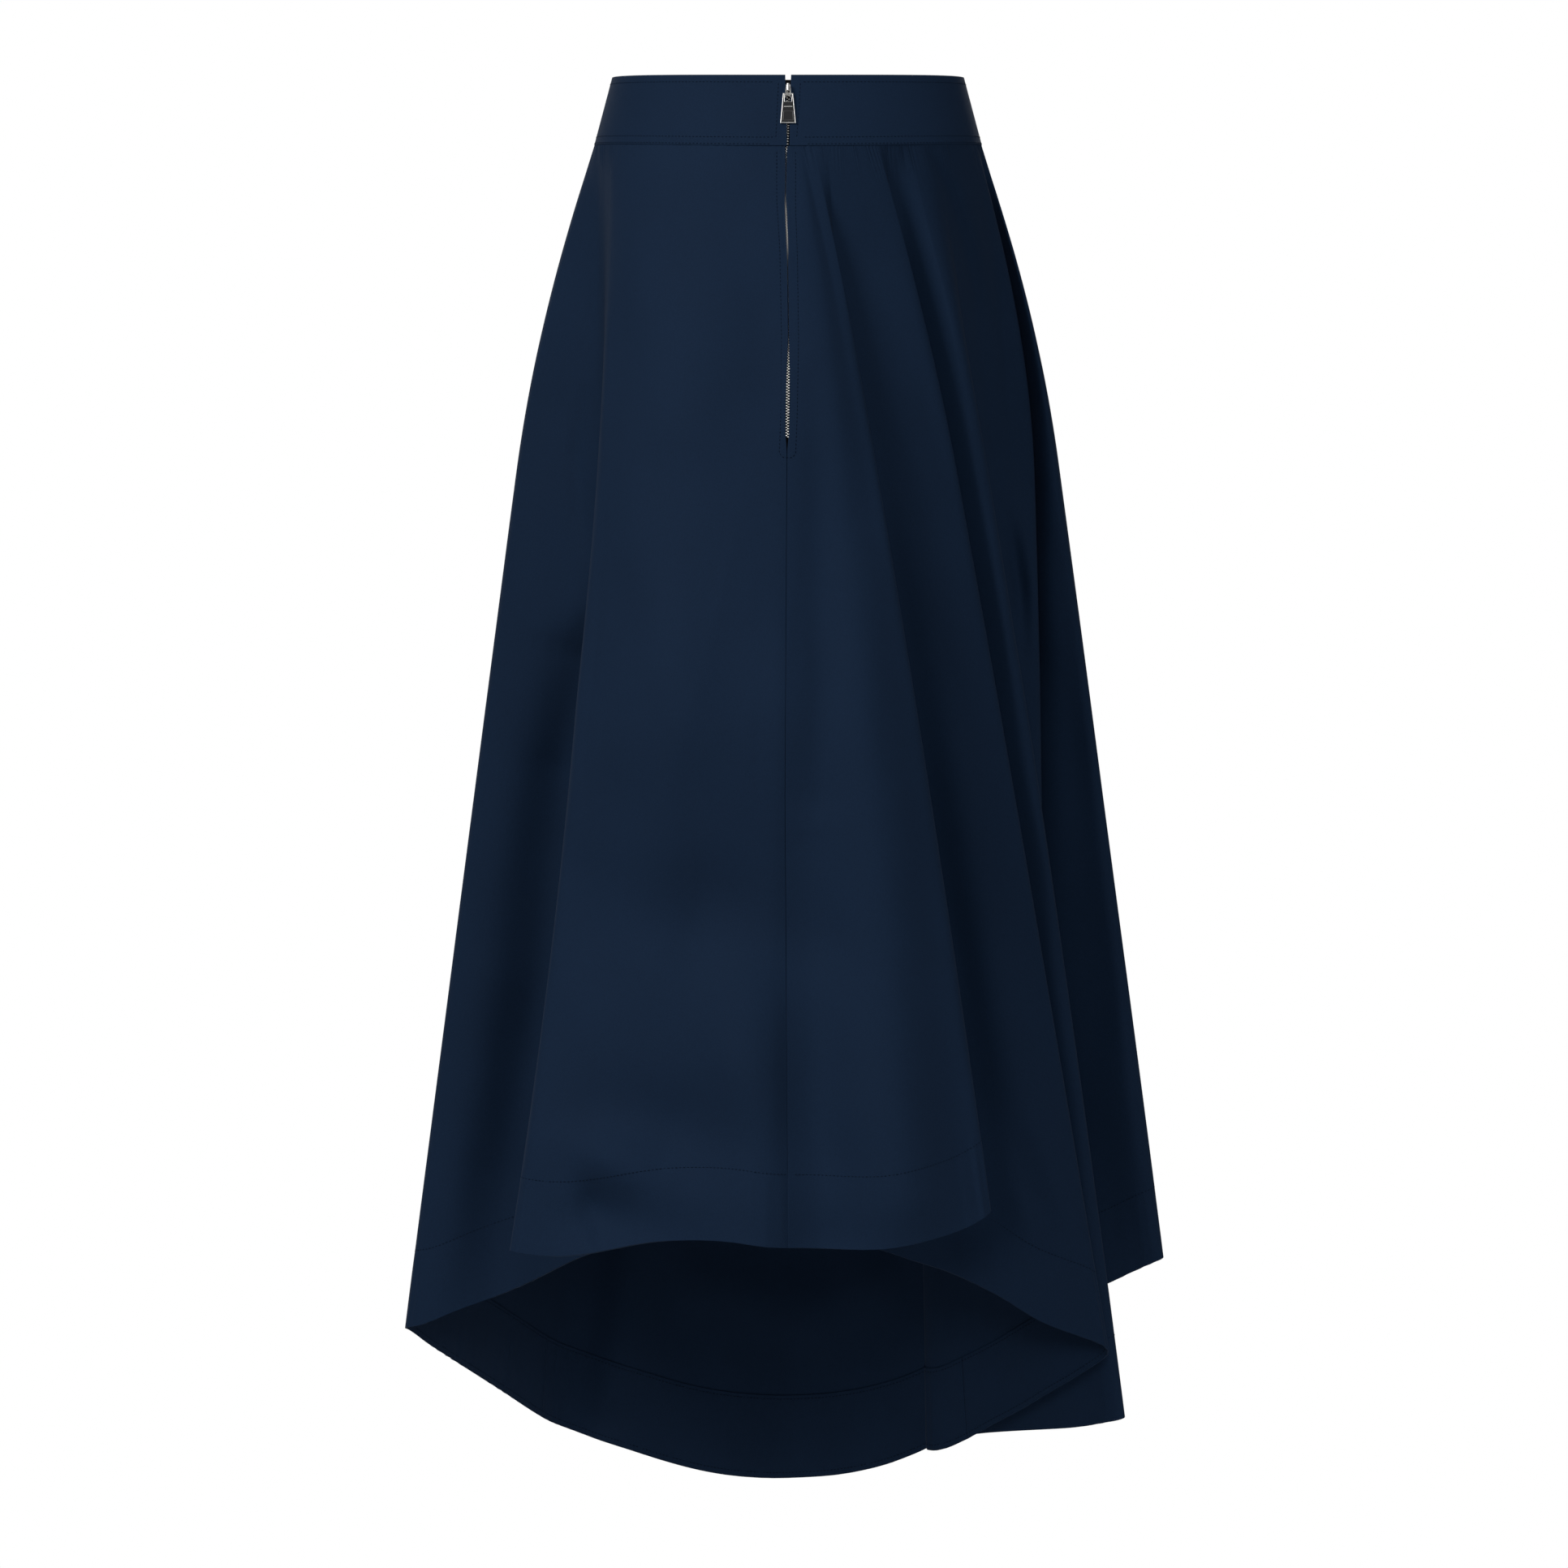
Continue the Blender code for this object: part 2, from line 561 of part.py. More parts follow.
def main():
    clear_scene()
    skirt = make_collection("asymmetric_skirt")
    navy = make_material("navy_cloth", (0.010, 0.022, 0.048), 0.85, 0.0)
    tape = make_material("zip_tape", (0.004, 0.005, 0.008), 0.9, 0.0)
    metal = make_material("zip_metal", (0.62, 0.60, 0.58), 0.25, 1.0)
    form = SkirtForm()
    marks = {"front": SEAM_FRONT, "joint_right": JOINT_RIGHT, "right": SEAM_RIGHT, "joint_back": JOINT_BACK,
             "joint_left": JOINT_LEFT, "left": SEAM_LEFT, "end": SEAM_FRONT + 360}
    places = [form.place_of_ring(angle) for angle in marks.values()]
    run = dict(zip(("front_a", "front_b", "back_a", "side", "back_b", "left"), form.columns(places)))
    whole_round = [piece - form.count for piece in (run["back_b"], run["left"])]
    runs = {
        "front_right": [run["front_a"], run["front_b"]],
        "back": [run["back_a"], run["side"], run["back_b"]],
        "front_left": [run["left"]],
        "facing_front": [*whole_round, run["front_a"]],
        "facing_back": [run["front_b"], run["back_a"]],
        "facing_side": [run["side"]],
    }
    make_panels(form, runs, navy, skirt)
    make_facings(form, runs, navy, skirt)
    make_waistband(navy, skirt)
    make_zip_tapes(form, tape, skirt)
    make_zip_chain(form, metal, skirt)
    make_slider(metal, skirt, make_collection("cutters"))
    make_link(metal, skirt)
    make_tab(metal, skirt)


main()
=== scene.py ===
"""The looks of the asymmetric skirt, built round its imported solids.

The cloth is laid again on the same form as the solids, finer and with its soft creases, and gets its sewing,
the zip's teeth and its finishes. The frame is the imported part's: +Z up, +X to the viewer's right, the centre
front towards -Y, and the origin in the middle of the waist. Sizes are in millimetres until a mesh is written.
"""

import json
import math

import bpy
import numpy as np
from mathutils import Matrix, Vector

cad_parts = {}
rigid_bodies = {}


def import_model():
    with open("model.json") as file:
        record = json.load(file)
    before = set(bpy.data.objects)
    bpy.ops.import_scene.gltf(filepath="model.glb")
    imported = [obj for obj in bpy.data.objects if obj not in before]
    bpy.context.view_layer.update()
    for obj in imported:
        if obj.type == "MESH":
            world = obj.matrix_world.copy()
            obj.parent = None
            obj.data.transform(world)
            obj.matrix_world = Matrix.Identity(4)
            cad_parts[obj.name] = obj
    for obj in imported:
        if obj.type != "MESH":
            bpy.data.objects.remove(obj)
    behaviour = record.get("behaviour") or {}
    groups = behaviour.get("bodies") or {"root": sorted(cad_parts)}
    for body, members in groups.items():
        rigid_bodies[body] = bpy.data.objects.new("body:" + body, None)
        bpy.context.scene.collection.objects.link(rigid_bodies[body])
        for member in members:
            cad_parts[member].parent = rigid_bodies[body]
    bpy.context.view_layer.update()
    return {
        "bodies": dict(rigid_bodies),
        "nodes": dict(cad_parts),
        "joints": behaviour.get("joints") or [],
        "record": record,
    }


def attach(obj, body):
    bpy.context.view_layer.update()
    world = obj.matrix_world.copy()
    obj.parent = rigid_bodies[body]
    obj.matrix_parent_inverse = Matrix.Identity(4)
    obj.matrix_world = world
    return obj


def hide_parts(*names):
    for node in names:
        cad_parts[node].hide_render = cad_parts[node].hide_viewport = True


MM = 0.001

# The camera: a long lens, level, a little under half way down the skirt
CAMERA_PLACE = (-3.0, -4500.0, -491.5)
SENSOR = 36.0
FOCAL_PIXELS = 7500.0       # focal length in pixels of the photograph
PHOTO_PIXELS = 1932.0

# Cloth and seams
WALL = 1.2                  # skirt cloth, outside to inside
BAND_WALL = 2.0
BAND_PROUD = 0.5
FACING_WALL = 0.5
FACING_LIFT = 1.25          # from the cloth's outside in to the facing's own outer face
BAND_DROP = 0.1
FACING_TOP = 0.935
FACING_FOOT = 0.9985

RING_COLUMNS = ("half_width", "half_depth", "height", "back_rise", "side_rise")
WAIST_TOP = dict(zip(RING_COLUMNS, (129.6, 93.0, 28.9, 5.6, 1.4)))
WAIST_SEAM = dict(zip(RING_COLUMNS, (142.8, 105.0, -21.9, 6.3, 2.4)))

# The cloth hangs round a fold cylinder at each row. x and y are the cylinder's centre at the hem, radius is
# positive where the cloth bulges out and negative in a valley, hem is the hem's height, ring and span are the
# fold's place and width on the waist seam in degrees from +X, hip is the share of the flare that is taken up
# over the hip, and bend is how far the fold's line swings towards +X half way down.
FOLD_COLUMNS = ("name", "x", "y", "radius", "hem", "ring", "span", "hip", "bend")
FOLDS = [dict(zip(FOLD_COLUMNS, row)) for row in (
    ("front_centre", -3, -90, 155, -814, -91.6, 3.0, 0.10, 0),
    ("front_right_swell", 37, -95, 150, -816, -88.0, 2.0, 0.10, 0),
    ("ridge_a", 135, -206, 9, -788, -84.5, 3.2, 0.04, 6),
    ("valley_b", 59, -118, -9, -826, -76.5, 3.6, 0.06, 2),
    ("ridge_c", 227, -42, 9, -904, -65.0, 3.6, 0.10, 3),
    ("valley_d", 112, 64, -8, -990, -58.5, 3.6, 0.12, 2),
    ("ridge_e", 242, 0, 8, -960, -50.5, 3.6, 0.10, 5),
    ("valley_f", 163, 54, -8, -905, -38.0, 4.0, 0.20, 4),
    ("ridge_h", 184, 50, 8, -890, -17.0, 5.0, 0.80, 4),
    ("valley_i", 168, 143, -8, -880, -8.0, 4.0, 0.48, 2),
    ("ridge_g", 276, 122, 10, -848, 4.0, 8.0, 0.19, 1),
    ("side_right_swell", 232, 174, 18, -872, 14.0, 6.0, 0.18, 0),
    ("back_right_swell", 167, 198, 50, -940, 34.0, 12.0, 0.18, 0),
    ("back_right_hollow", 92, 305, -40, -1014, 57.0, 8.0, 0.18, 0),
    ("back_swell", 17, 230, 50, -1037, 80.0, 12.0, 0.18, 0),
    ("back_left_hollow", -63, 296, -40, -1026, 102.0, 8.0, 0.18, 0),
    ("back_left_swell", -138, 180, 55, -986, 127.0, 14.0, 0.18, 0),
    ("ridge_left_c", -270, 6, 14, -894, 180.0, 9.0, 0.19, -0.5),
    ("valley_left_b", -145, -80, -9, -828, 197.0, 4.0, 0.14, 8),
    ("ridge_left_a", -189, -200, 9, -820, 210.0, 4.0, 0.12, 15),
    ("front_left_swell", -73, -70, 165, -810, 240.0, 16.0, 0.12, 2),
)]

# How much lower than the folds' own heights the hem hangs, at ring angles in between
HEM_DROPS = (
    (-89, 2), (-88, 2), (-87.4, -1), (-87, -4), (-86.8, 0), (-86.5, 6), (-86.1, 12), (-85.5, 8),
    (-84.5, 1), (-76.5, -1), (-73, -5), (-72, -9), (-70, -6), (-69, 1), (-67, -2), (-65, 0), (-64, 9),
    (-62, 10), (-61, 8), (-58.5, -2), (-56, -7), (-55, -4), (-53, 3), (-50.5, -1), (-38, 0), (-8, 6),
    (-2, 16), (-1, 10), (1, 6), (4, 1), (14, 0), (34, 10), (46, 29), (49, 20), (52, 15), (70, 4), (83, 1),
    (92, 3), (102, 8), (111, 11), (116, 14), (118, 13), (126, 4), (142, -3), (152, -1), (171, 2),
    (178, -2), (187, 1), (189, 5), (191, 7), (192, 4), (197, 2), (208, 0), (214, 5), (220, 9), (228, 8),
    (246, 3), (258, -1), (267, -2), (272, 0),
)

HIP_LEVEL = 0.28            # level down to which the cloth is shaped by the hip
SOFT_LEVEL = 0.22           # level by which the folds have come to their full sharpness
SOFT_WIDTH = 14.0           # how widely they are spread at the waist seam

# Folds that come out of the flat cloth more slowly: between two ring angles, down to a level, and how
# widely they are spread
FAINT_COLUMNS = ("first", "last", "level", "width")
FAINT_FOLDS = [dict(zip(FAINT_COLUMNS, row)) for row in (
    (188, 226, 0.52, 55.0),
    (-64, -14, 0.46, 30.0),
)]
BACK_HEM_WIDTH = 34.0       # the back hem is a softer curve

# Where the panels meet, as degrees on the waist seam
SEAM_FRONT = -90.0
SEAM_RIGHT = 9.5
SEAM_LEFT = 170.0
JOINT_RIGHT = -60.9         # the facing's joints
JOINT_BACK = 136.0
JOINT_LEFT = 147.0

# How finely the cloth is laid
DENSE_STEP = 1.0
LONGEST_STEP = 4.5
STEPS_PER_TURN = 44.0
SMOOTHING = 4.0
EDGE_ROW = 0.35             # from a cloth's edge in to its first row


def ring_point(ring, degrees):
    """A point of a waistband ring."""
    angle = np.radians(degrees)
    rise = ring["back_rise"] * np.sin(angle) + ring["side_rise"] * np.cos(2 * angle)
    return np.stack([ring["half_width"] * np.cos(angle), ring["half_depth"] * np.sin(angle),
                     ring["height"] + rise], axis=-1)


def run_direction(first, second):
    """The direction of the straight run of cloth between two fold cylinders."""
    across = np.array([second["x"] - first["x"], second["y"] - first["y"]], float)
    lean = math.asin((second["radius"] - first["radius"]) / np.hypot(*across))
    return math.atan2(across[1], across[0]) - lean


def on_cylinder(fold, direction):
    """Where cloth that runs in this direction touches the fold's cylinder."""
    return np.array([fold["x"] + fold["radius"] * np.sin(direction),
                     fold["y"] - fold["radius"] * np.cos(direction)]).T


def outline_pieces():
    """The hem's outline in plan, fold by fold: points, and the height, ring angle, hip and bend there."""
    count = len(FOLDS)
    headings = [run_direction(FOLDS[i], FOLDS[(i + 1) % count]) for i in range(count)]
    for i, fold in enumerate(FOLDS):
        following = FOLDS[(i + 1) % count]
        before, after = headings[i - 1], headings[i]
        full = 2 * math.pi
        turn = (after - before) % full if fold["radius"] > 0 else -((before - after) % full)
        steps = max(2, round(abs(turn * fold["radius"]) / DENSE_STEP))
        share = np.linspace(0, 1, steps, endpoint=False)
        ring = fold["ring"] + fold["span"] * (share - 0.5)
        flat = 0 * share
        yield (on_cylinder(fold, before + turn * share), fold["hem"] + flat, ring, fold["hip"] + flat,
               fold["bend"] + flat)
        start, end = on_cylinder(fold, after), on_cylinder(following, after)
        steps = max(2, round(np.hypot(*(end - start)) / DENSE_STEP))
        share = np.linspace(0, 1, steps, endpoint=False)
        ring_start = fold["ring"] + fold["span"] / 2
        ring_end = following["ring"] - following["span"] / 2
        if ring_end < ring_start:
            ring_end += 360
        mixed = {column: fold[column] + (following[column] - fold[column]) * share
                 for column in ("hem", "hip", "bend")}
        yield (start + (end - start) * share[:, None], mixed["hem"],
               ring_start + (ring_end - ring_start) * share, mixed["hip"], mixed["bend"])


def smoothed(values, width):
    """Values round a closed outline, averaged with a bell curve this many steps wide."""
    reach = int(3 * width)
    bell = np.exp(-0.5 * (np.arange(-reach, reach + 1) / width) ** 2)
    bell /= bell.sum()
    ends = np.concatenate([values[-reach:], values, values[:reach]])
    return np.convolve(ends, bell, mode="valid")


class SkirtForm:
    """The outside of the skirt cloth as a function of the place round the hem and the level down it."""

    def __init__(self):
        plan, height, ring, hip, bend = [np.concatenate(part) for part in zip(*outline_pieces())]
        drift = np.linspace(0, 360, len(ring), endpoint=False)
        self.x = smoothed(plan[:, 0], SMOOTHING)
        self.y = smoothed(plan[:, 1], SMOOTHING)
        self.soft_x = smoothed(plan[:, 0], SOFT_WIDTH)
        self.soft_y = smoothed(plan[:, 1], SOFT_WIDTH)
        self.ring = smoothed(ring - drift, SMOOTHING) + drift
        drop = np.interp(self.ring, *zip(*HEM_DROPS))
        hem = height - drop
        behind = np.interp(self.ring, (22, 40, 150, 166), (0, 1, 1, 0))
        self.hem = smoothed(hem, 3 * SMOOTHING) * (1 - behind) + smoothed(hem, BACK_HEM_WIDTH) * behind
        self.faint = []
        for row in FAINT_FOLDS:
            middle, half = (row["first"] + row["last"]) / 2, (row["last"] - row["first"]) / 2
            share = np.exp(-((self.ring - middle) / half) ** 4)
            spread = [smoothed(values, row["width"]) for values in (plan[:, 0], plan[:, 1])]
            self.faint.append((row["level"], share, *spread))
        self.hip = smoothed(hip, 4 * SMOOTHING)
        self.bend = smoothed(bend, 4 * SMOOTHING)
        self.count = len(ring)

    def read(self, values, place, turn=0.0):
        """One of the arrays at a fractional place, which may lie past the outline's end by whole rounds."""
        closed = np.append(values, values[0] + turn)
        rounds = np.floor(np.asarray(place) / self.count)
        inside = np.asarray(place) - rounds * self.count
        return np.interp(inside, np.arange(self.count + 1), closed) + rounds * turn

    def place_of_ring(self, degrees):
        """The place round the hem of the line that starts at this angle of the waist seam."""
        twice = np.concatenate([self.ring - 360, self.ring, self.ring + 360])
        places = np.arange(-self.count, 2 * self.count)
        return float(np.interp(degrees, twice, places))

    def point(self, place, level):
        """Points of the cloth's outside; place and level may be arrays of one shape."""
        start = ring_point(WAIST_SEAM, self.read(self.ring, place, 360.0))
        start[..., 2] -= BAND_DROP
        soft = np.clip(1 - level / SOFT_LEVEL, 0, None) ** 2
        across = self.read(self.x, place) * (1 - soft) + self.read(self.soft_x, place) * soft
        back = self.read(self.y, place) * (1 - soft) + self.read(self.soft_y, place) * soft
        for depth, share, spread_x, spread_y in self.faint:
            faint = self.read(share, place) * np.clip(1 - level / depth, 0, None) ** 1.3
            across = across * (1 - faint) + self.read(spread_x, place) * faint
            back = back * (1 - faint) + self.read(spread_y, place) * faint
        hem = np.stack([across, back, self.read(self.hem, place)], -1)
        hip = self.read(self.hip, place)
        over_hip = 1 - np.clip(1 - level / HIP_LEVEL, 0, None) ** 2
        flare = (1 - hip) * level + hip * over_hip
        share = np.stack([flare, flare, level + 0 * flare], -1)
        points = start + (hem - start) * share
        points[..., 0] += self.read(self.bend, place) * 4 * level * (1 - level)
        return points

    def normal(self, place, level):
        """The outward normal, from points a little to each side."""
        round_it = self.point(place + 1.0, level) - self.point(place - 1.0, level)
        down_it = self.point(place, level + 0.004) - self.point(place, level - 0.004)
        across = np.cross(down_it, round_it)
        return across / np.linalg.norm(across, axis=-1, keepdims=True)

    def columns(self, breaks):
        """Places for a grid's columns: close together in the folds, and one at each break."""
        places = np.arange(self.count + 1)
        step = np.stack([np.diff(self.read(self.x, places)), np.diff(self.read(self.y, places))], -1)
        heading = np.unwrap(np.arctan2(step[:, 1], step[:, 0]))
        bend = np.abs(np.diff(heading, append=heading[0] + 2 * math.pi))
        weight = np.hypot(*step.T) / LONGEST_STEP + bend * STEPS_PER_TURN / (2 * math.pi)
        total = np.concatenate([[0], np.cumsum(weight)])
        marks = [self.read(total[:-1], mark, total[-1]) for mark in breaks]
        runs = []
        for here, there in zip(marks[:-1], marks[1:]):
            pieces = max(1, math.ceil(there - here))
            wanted = np.linspace(here, there, pieces + 1)
            rounds = np.floor(wanted / total[-1])
            found = np.interp(wanted - rounds * total[-1], total, np.arange(self.count + 1))
            runs.append(found + rounds * self.count)
        return runs


def crease_table(view, axes, rows):
    """Creases seen from one side. Each row has the ring angles between which the cloth carries it, and its
    line: points across and up in that view, each with the crease's half width and depth there. A positive
    depth swells outwards, a negative one is a hollow."""
    columns = ("first", "last", "line")
    return [dict(zip(columns, row), view=np.array(view, float), axes=axes) for row in rows]


# Seen from the front: x and z
FRONT_CREASES = crease_table((0, -1, 0), (0, 2), (
    # The left front fold rounds off towards its edge, and so does the right one
    (200.5, 275, ((-134, -250, 18, -1.5), (-148, -400, 24, -4), (-170, -600, 28, -6), (-200, -830, 30, -7))),
    (230, 281, ((38, -110, 10, -0.3), (60, -230, 18, -1.5), (92, -430, 26, -4), (141, -800, 36, -8))),
    # Broad soft hollows and swells across the front
    (205, 281, ((-130, -420, 60, 4), (-70, -440, 84, 13), (0, -450, 80, 12), (70, -450, 66, 5))),
    (205, 281, ((-125, -578, 36, -6), (-65, -588, 42, -14), (-5, -603, 38, -10), (50, -610, 32, -2))),
    (205, 281, ((-130, -722, 28, -5), (-80, -734, 34, -12), (-20, -752, 30, -4), (60, -760, 26, -1))),
    (205, 270, ((-154, -748, 14, 3), (-138, -752, 18, 9), (-118, -758, 18, 7), (-94, -766, 16, 2))),
    (205, 270, ((-152, -800, 16, -4), (-138, -794, 20, -14), (-114, -800, 22, -12), (-74, -812, 24, -4))),
    (205, 281, ((-70, -820, 34, -3), (10, -822, 34, -6), (90, -815, 34, -4))),
    (205, 281, ((-36, -600, 24, 4), (-30, -690, 30, 11), (-24, -810, 30, 11))),
    (205, 281, ((14, -540, 20, -5), (18, -660, 24, -11), (24, -810, 26, -11))),
    (205, 281, ((58, -320, 16, 2), (70, -500, 26, 10), (86, -780, 34, 13))),
    (205, 281, ((20, -200, 10, -1.4), (22, -300, 14, -5), (24, -420, 18, -8), (20, -500, 18, -6))),
    (205, 281, ((-84, -60, 40, 2), (-88, -200, 50, 6), (-94, -380, 54, 9), (-104, -560, 48, 6))),
    (225, 270, ((-36, -95, 16, -0.8), (-22, -150, 18, -2), (-14, -215, 16, -1.5))),
    (215, 265, ((-95, -330, 40, 3), (-85, -450, 44, 5))),
    (205, 250, ((-120, -150, 24, -1.2), (-100, -210, 28, -2.2))),
    # Short folds where the left front fold begins
    (188, 228, ((-139, -120, 4, -0.8), (-143, -150, 6, -2.2), (-147, -185, 6, -1))),
    (188, 228, ((-149, -205, 6, -1.5), (-154, -250, 8, -4), (-151, -290, 8, -3.5), (-146, -325, 7, -1))),
    (188, 228, ((-131, -150, 6, 1.2), (-136, -230, 7, 1.8), (-138, -290, 8, 1.5), (-142, -330, 8, 0.5))),
    (178, 215, ((-170, -175, 18, -1.5), (-176, -215, 20, -3.5), (-180, -260, 20, -2))),
    # The left flute turns in behind the left front fold
    (172, 199, ((-134, -365, 16, -2), (-144, -400, 30, -20), (-160, -480, 32, -36), (-176, -640, 36, -40),
                (-196, -780, 40, -40), (-208, -870, 38, -26))),
    (172, 199, ((-222, -640, 20, 2), (-246, -780, 24, 5), (-258, -870, 24, 5))),
    # The second flute on the right, behind the right front fold
    (-78.3, -61, ((100, -216, 8, -0.6), (139, -334, 12, -2), (170, -512, 18, -4), (200, -689, 22, -6),
                (234, -902, 24, -7))),
    (-80, -63, ((50, -180, 8, -1), (68, -300, 16, -7), (90, -470, 24, -20), (112, -620, 30, -28),
                (136, -800, 34, -30))),
    (-80, -63, ((168, -745, 9, -1), (178, -785, 12, -4.5), (190, -812, 11, -5), (198, -835, 9, -1))),
    (-79, -63, ((118, -470, 12, 0.5), (140, -600, 16, 3), (160, -720, 14, 1))),
    # Pleats over the right hip
    (-56, -20, ((103, -30, 4, -3), (118, -55, 5, -4), (129, -92, 6, -4.5), (139, -135, 7, -4.5),
                (144, -185, 7, -4), (151, -246, 7, -4), (157, -300, 7, -2))),
    (-56, -20, ((112, -32, 5, 2), (128, -60, 7, 3), (138, -100, 8, 2), (146, -160, 8, 1))),
    (-52, -10, ((158, -285, 6, -2), (166, -315, 8, -9), (172, -345, 8, -12), (176, -395, 8, -4))),
    (-50, -12, ((152, -110, 8, -1.5), (160, -180, 9, -5), (163, -240, 9, -2.5))),
    # The flute at the far right
    (-7.6, 3.5, ((156, -50, 8, 2), (168, -100, 9, 6), (178, -150, 10, 9), (186, -200, 11, 11),
                 (191, -270, 12, 12), (194, -350, 14, 11), (198, -450, 16, 7), (204, -560, 16, 2))),
    (-9, 12, ((210, -420, 16, -1.5), (222, -500, 22, -6), (232, -590, 24, -4), (240, -680, 20, -1))),
    (-9, 12, ((252, -640, 14, 1), (262, -760, 18, 4), (268, -830, 18, 3))),
))

# Seen from the back: x and z
BACK_CREASES = crease_table((0, 1, 0), (0, 2), (
    (20, 170, ((-20, -60, 12, -0.6), (-28, -150, 22, -3), (-40, -300, 28, -5), (-46, -420, 26, -2))),
    (20, 170, ((60, -90, 10, -0.8), (82, -190, 16, -3.5), (104, -330, 22, -5), (122, -470, 20, -2))),
    (20, 170, ((-96, -80, 10, -1), (-118, -170, 16, -3.2), (-130, -260, 20, -2))),
    (20, 170, ((10, -500, 34, -2), (-10, -640, 40, -8), (-20, -760, 36, -4))),
    (20, 170, ((110, -560, 24, 2), (128, -700, 30, 5), (140, -820, 28, 3))),
    (20, 170, ((-130, -480, 26, 2), (-150, -640, 32, 5), (-168, -800, 30, 3))),
    (105, 165, ((-112, -740, 14, -1), (-124, -860, 15, -6), (-140, -985, 18, -8))),
    (20, 170, ((-60, -880, 24, -3), (10, -905, 30, -6), (70, -880, 24, -3))),
    (20, 170, ((40, -300, 26, 1), (48, -420, 30, 4), (44, -540, 26, 1))),
    (20, 170, ((-190, -560, 18, -1), (-206, -680, 22, -4), (-214, -790, 20, -1))),
))

# Seen from the viewer's left and right: y and z
SIDE_CREASES = crease_table((-1, 0, 0), (1, 2), (
    (150, 200, ((40, -60, 10, -1), (52, -150, 16, -3), (66, -280, 22, -4), (74, -400, 20, -1))),
    (150, 200, ((96, -300, 22, 1), (120, -460, 28, 5), (138, -640, 28, 4), (150, -780, 24, 1))),
    (150, 200, ((60, -560, 22, -2), (74, -700, 28, -6), (84, -840, 26, -3))),
)) + crease_table((1, 0, 0), (1, 2), (
    (9, 40, ((50, -60, 9, -1), (66, -160, 14, -2.6), (80, -280, 18, -3), (90, -380, 16, -1))),
    (9, 40, ((130, -420, 22, 2), (150, -560, 26, 5), (166, -700, 26, 3))),
    (12, 40, ((128, -640, 18, -2), (146, -760, 22, -5), (158, -850, 20, -2))),
))

# Unevenness all over: wavelengths in millimetres along x, y and z, a start, and half the height
UNEVENNESS = (
    ((190, 260, 340), 0.3, 0.9), ((-130, 170, 230), 1.7, 0.7), ((95, -140, 160), 2.9, 0.45),
    ((-70, 90, -120), 4.1, 0.3), ((52, 61, 84), 5.3, 0.18),
)
PUCKER_LEVEL = 0.925        # the hem is puckered a little by its stitching from here down
PUCKER_LENGTH = 8.5         # from one pucker to the next
PUCKER_DEPTH = 0.45
GATHER_DEPTH = 0.35         # and so is the top, under the waistband
EDGE_ANGLE = 0.7            # degrees of ring over which a crease fades out at the ends of its cloth


def ring_mask(ring, first, last):
    """1 between two ring angles, fading out at each."""
    after = (ring - first + 180) % 360 - 180
    before = (last - ring + 180) % 360 - 180
    return np.clip(after / EDGE_ANGLE, 0, 1) * np.clip(before / EDGE_ANGLE, 0, 1)


def crease_relief(points, ring, rows):
    """How the creases move points of the cloth, each towards the side that it is seen from."""
    moved = np.zeros(points.shape)
    for row in rows:
        inside = ring_mask(ring, row["first"], row["last"])
        seen = points[..., row["axes"]]
        nearest = np.full(points.shape[:-1], np.inf)
        found = np.zeros(points.shape[:-1])
        line = np.array(row["line"], float)
        for here, there in zip(line[:-1], line[1:]):
            along = there[:2] - here[:2]
            share = np.clip((seen - here[:2]) @ along / (along @ along), 0, 1)
            away = np.linalg.norm(seen - here[:2] - share[..., None] * along, axis=-1)
            width = here[2] + (there[2] - here[2]) * share
            depth = here[3] + (there[3] - here[3]) * share
            closer = away < nearest
            nearest = np.where(closer, away, nearest)
            found = np.where(closer, depth * np.exp(-(away / width) ** 2), found)
        moved += (inside * found)[..., None] * row["view"]
    return moved


def small_relief(points, out, place, level):
    """How the cloth's unevenness and the puckers at its seams move it in or out from the skirt's middle."""
    lift = np.zeros(points.shape[:-1])
    for lengths, start, half in UNEVENNESS:
        lift += half * np.sin(points @ (2 * math.pi / np.array(lengths, float)) + start)
    lift *= np.clip(level / 0.1, 0.15, 1) * (1 - out[..., 0] ** 2)
    turn = 2 * math.pi * place / PUCKER_LENGTH
    uneven = np.sin(turn + 2.2 * np.sin(turn / 6.1)) * (0.55 + 0.45 * np.sin(turn / 9.7 + 1.0))
    near_hem = np.clip((level - PUCKER_LEVEL) / 0.02, 0, 1)
    near_top = np.clip(1 - level / 0.03, 0, 1)
    lift += uneven * (PUCKER_DEPTH * near_hem + GATHER_DEPTH * near_top)
    away = points * (1, 1, 0)
    return lift[..., None] * away / np.linalg.norm(away, axis=-1, keepdims=True)


class Cloth(SkirtForm):
    """The form with its creases."""

    def surface(self, place, level, inwards=0.0):
        """Points of the creased cloth and their outward directions."""
        place, level = np.broadcast_arrays(np.asarray(place, float), np.asarray(level, float))
        points = self.point(place, level)
        out = self.normal(place, level)
        ring = self.read(self.ring, place, 360.0)
        moved = crease_relief(points, ring, FRONT_CREASES + BACK_CREASES + SIDE_CREASES)
        moved *= np.clip(level / 0.02, 0, 1)[..., None]
        moved += small_relief(points, out, place, level)
        return points + moved - out * inwards, out


def add_object(name, data):
    obj = bpy.data.objects.new(name, data)
    bpy.context.scene.collection.objects.link(obj)
    return obj


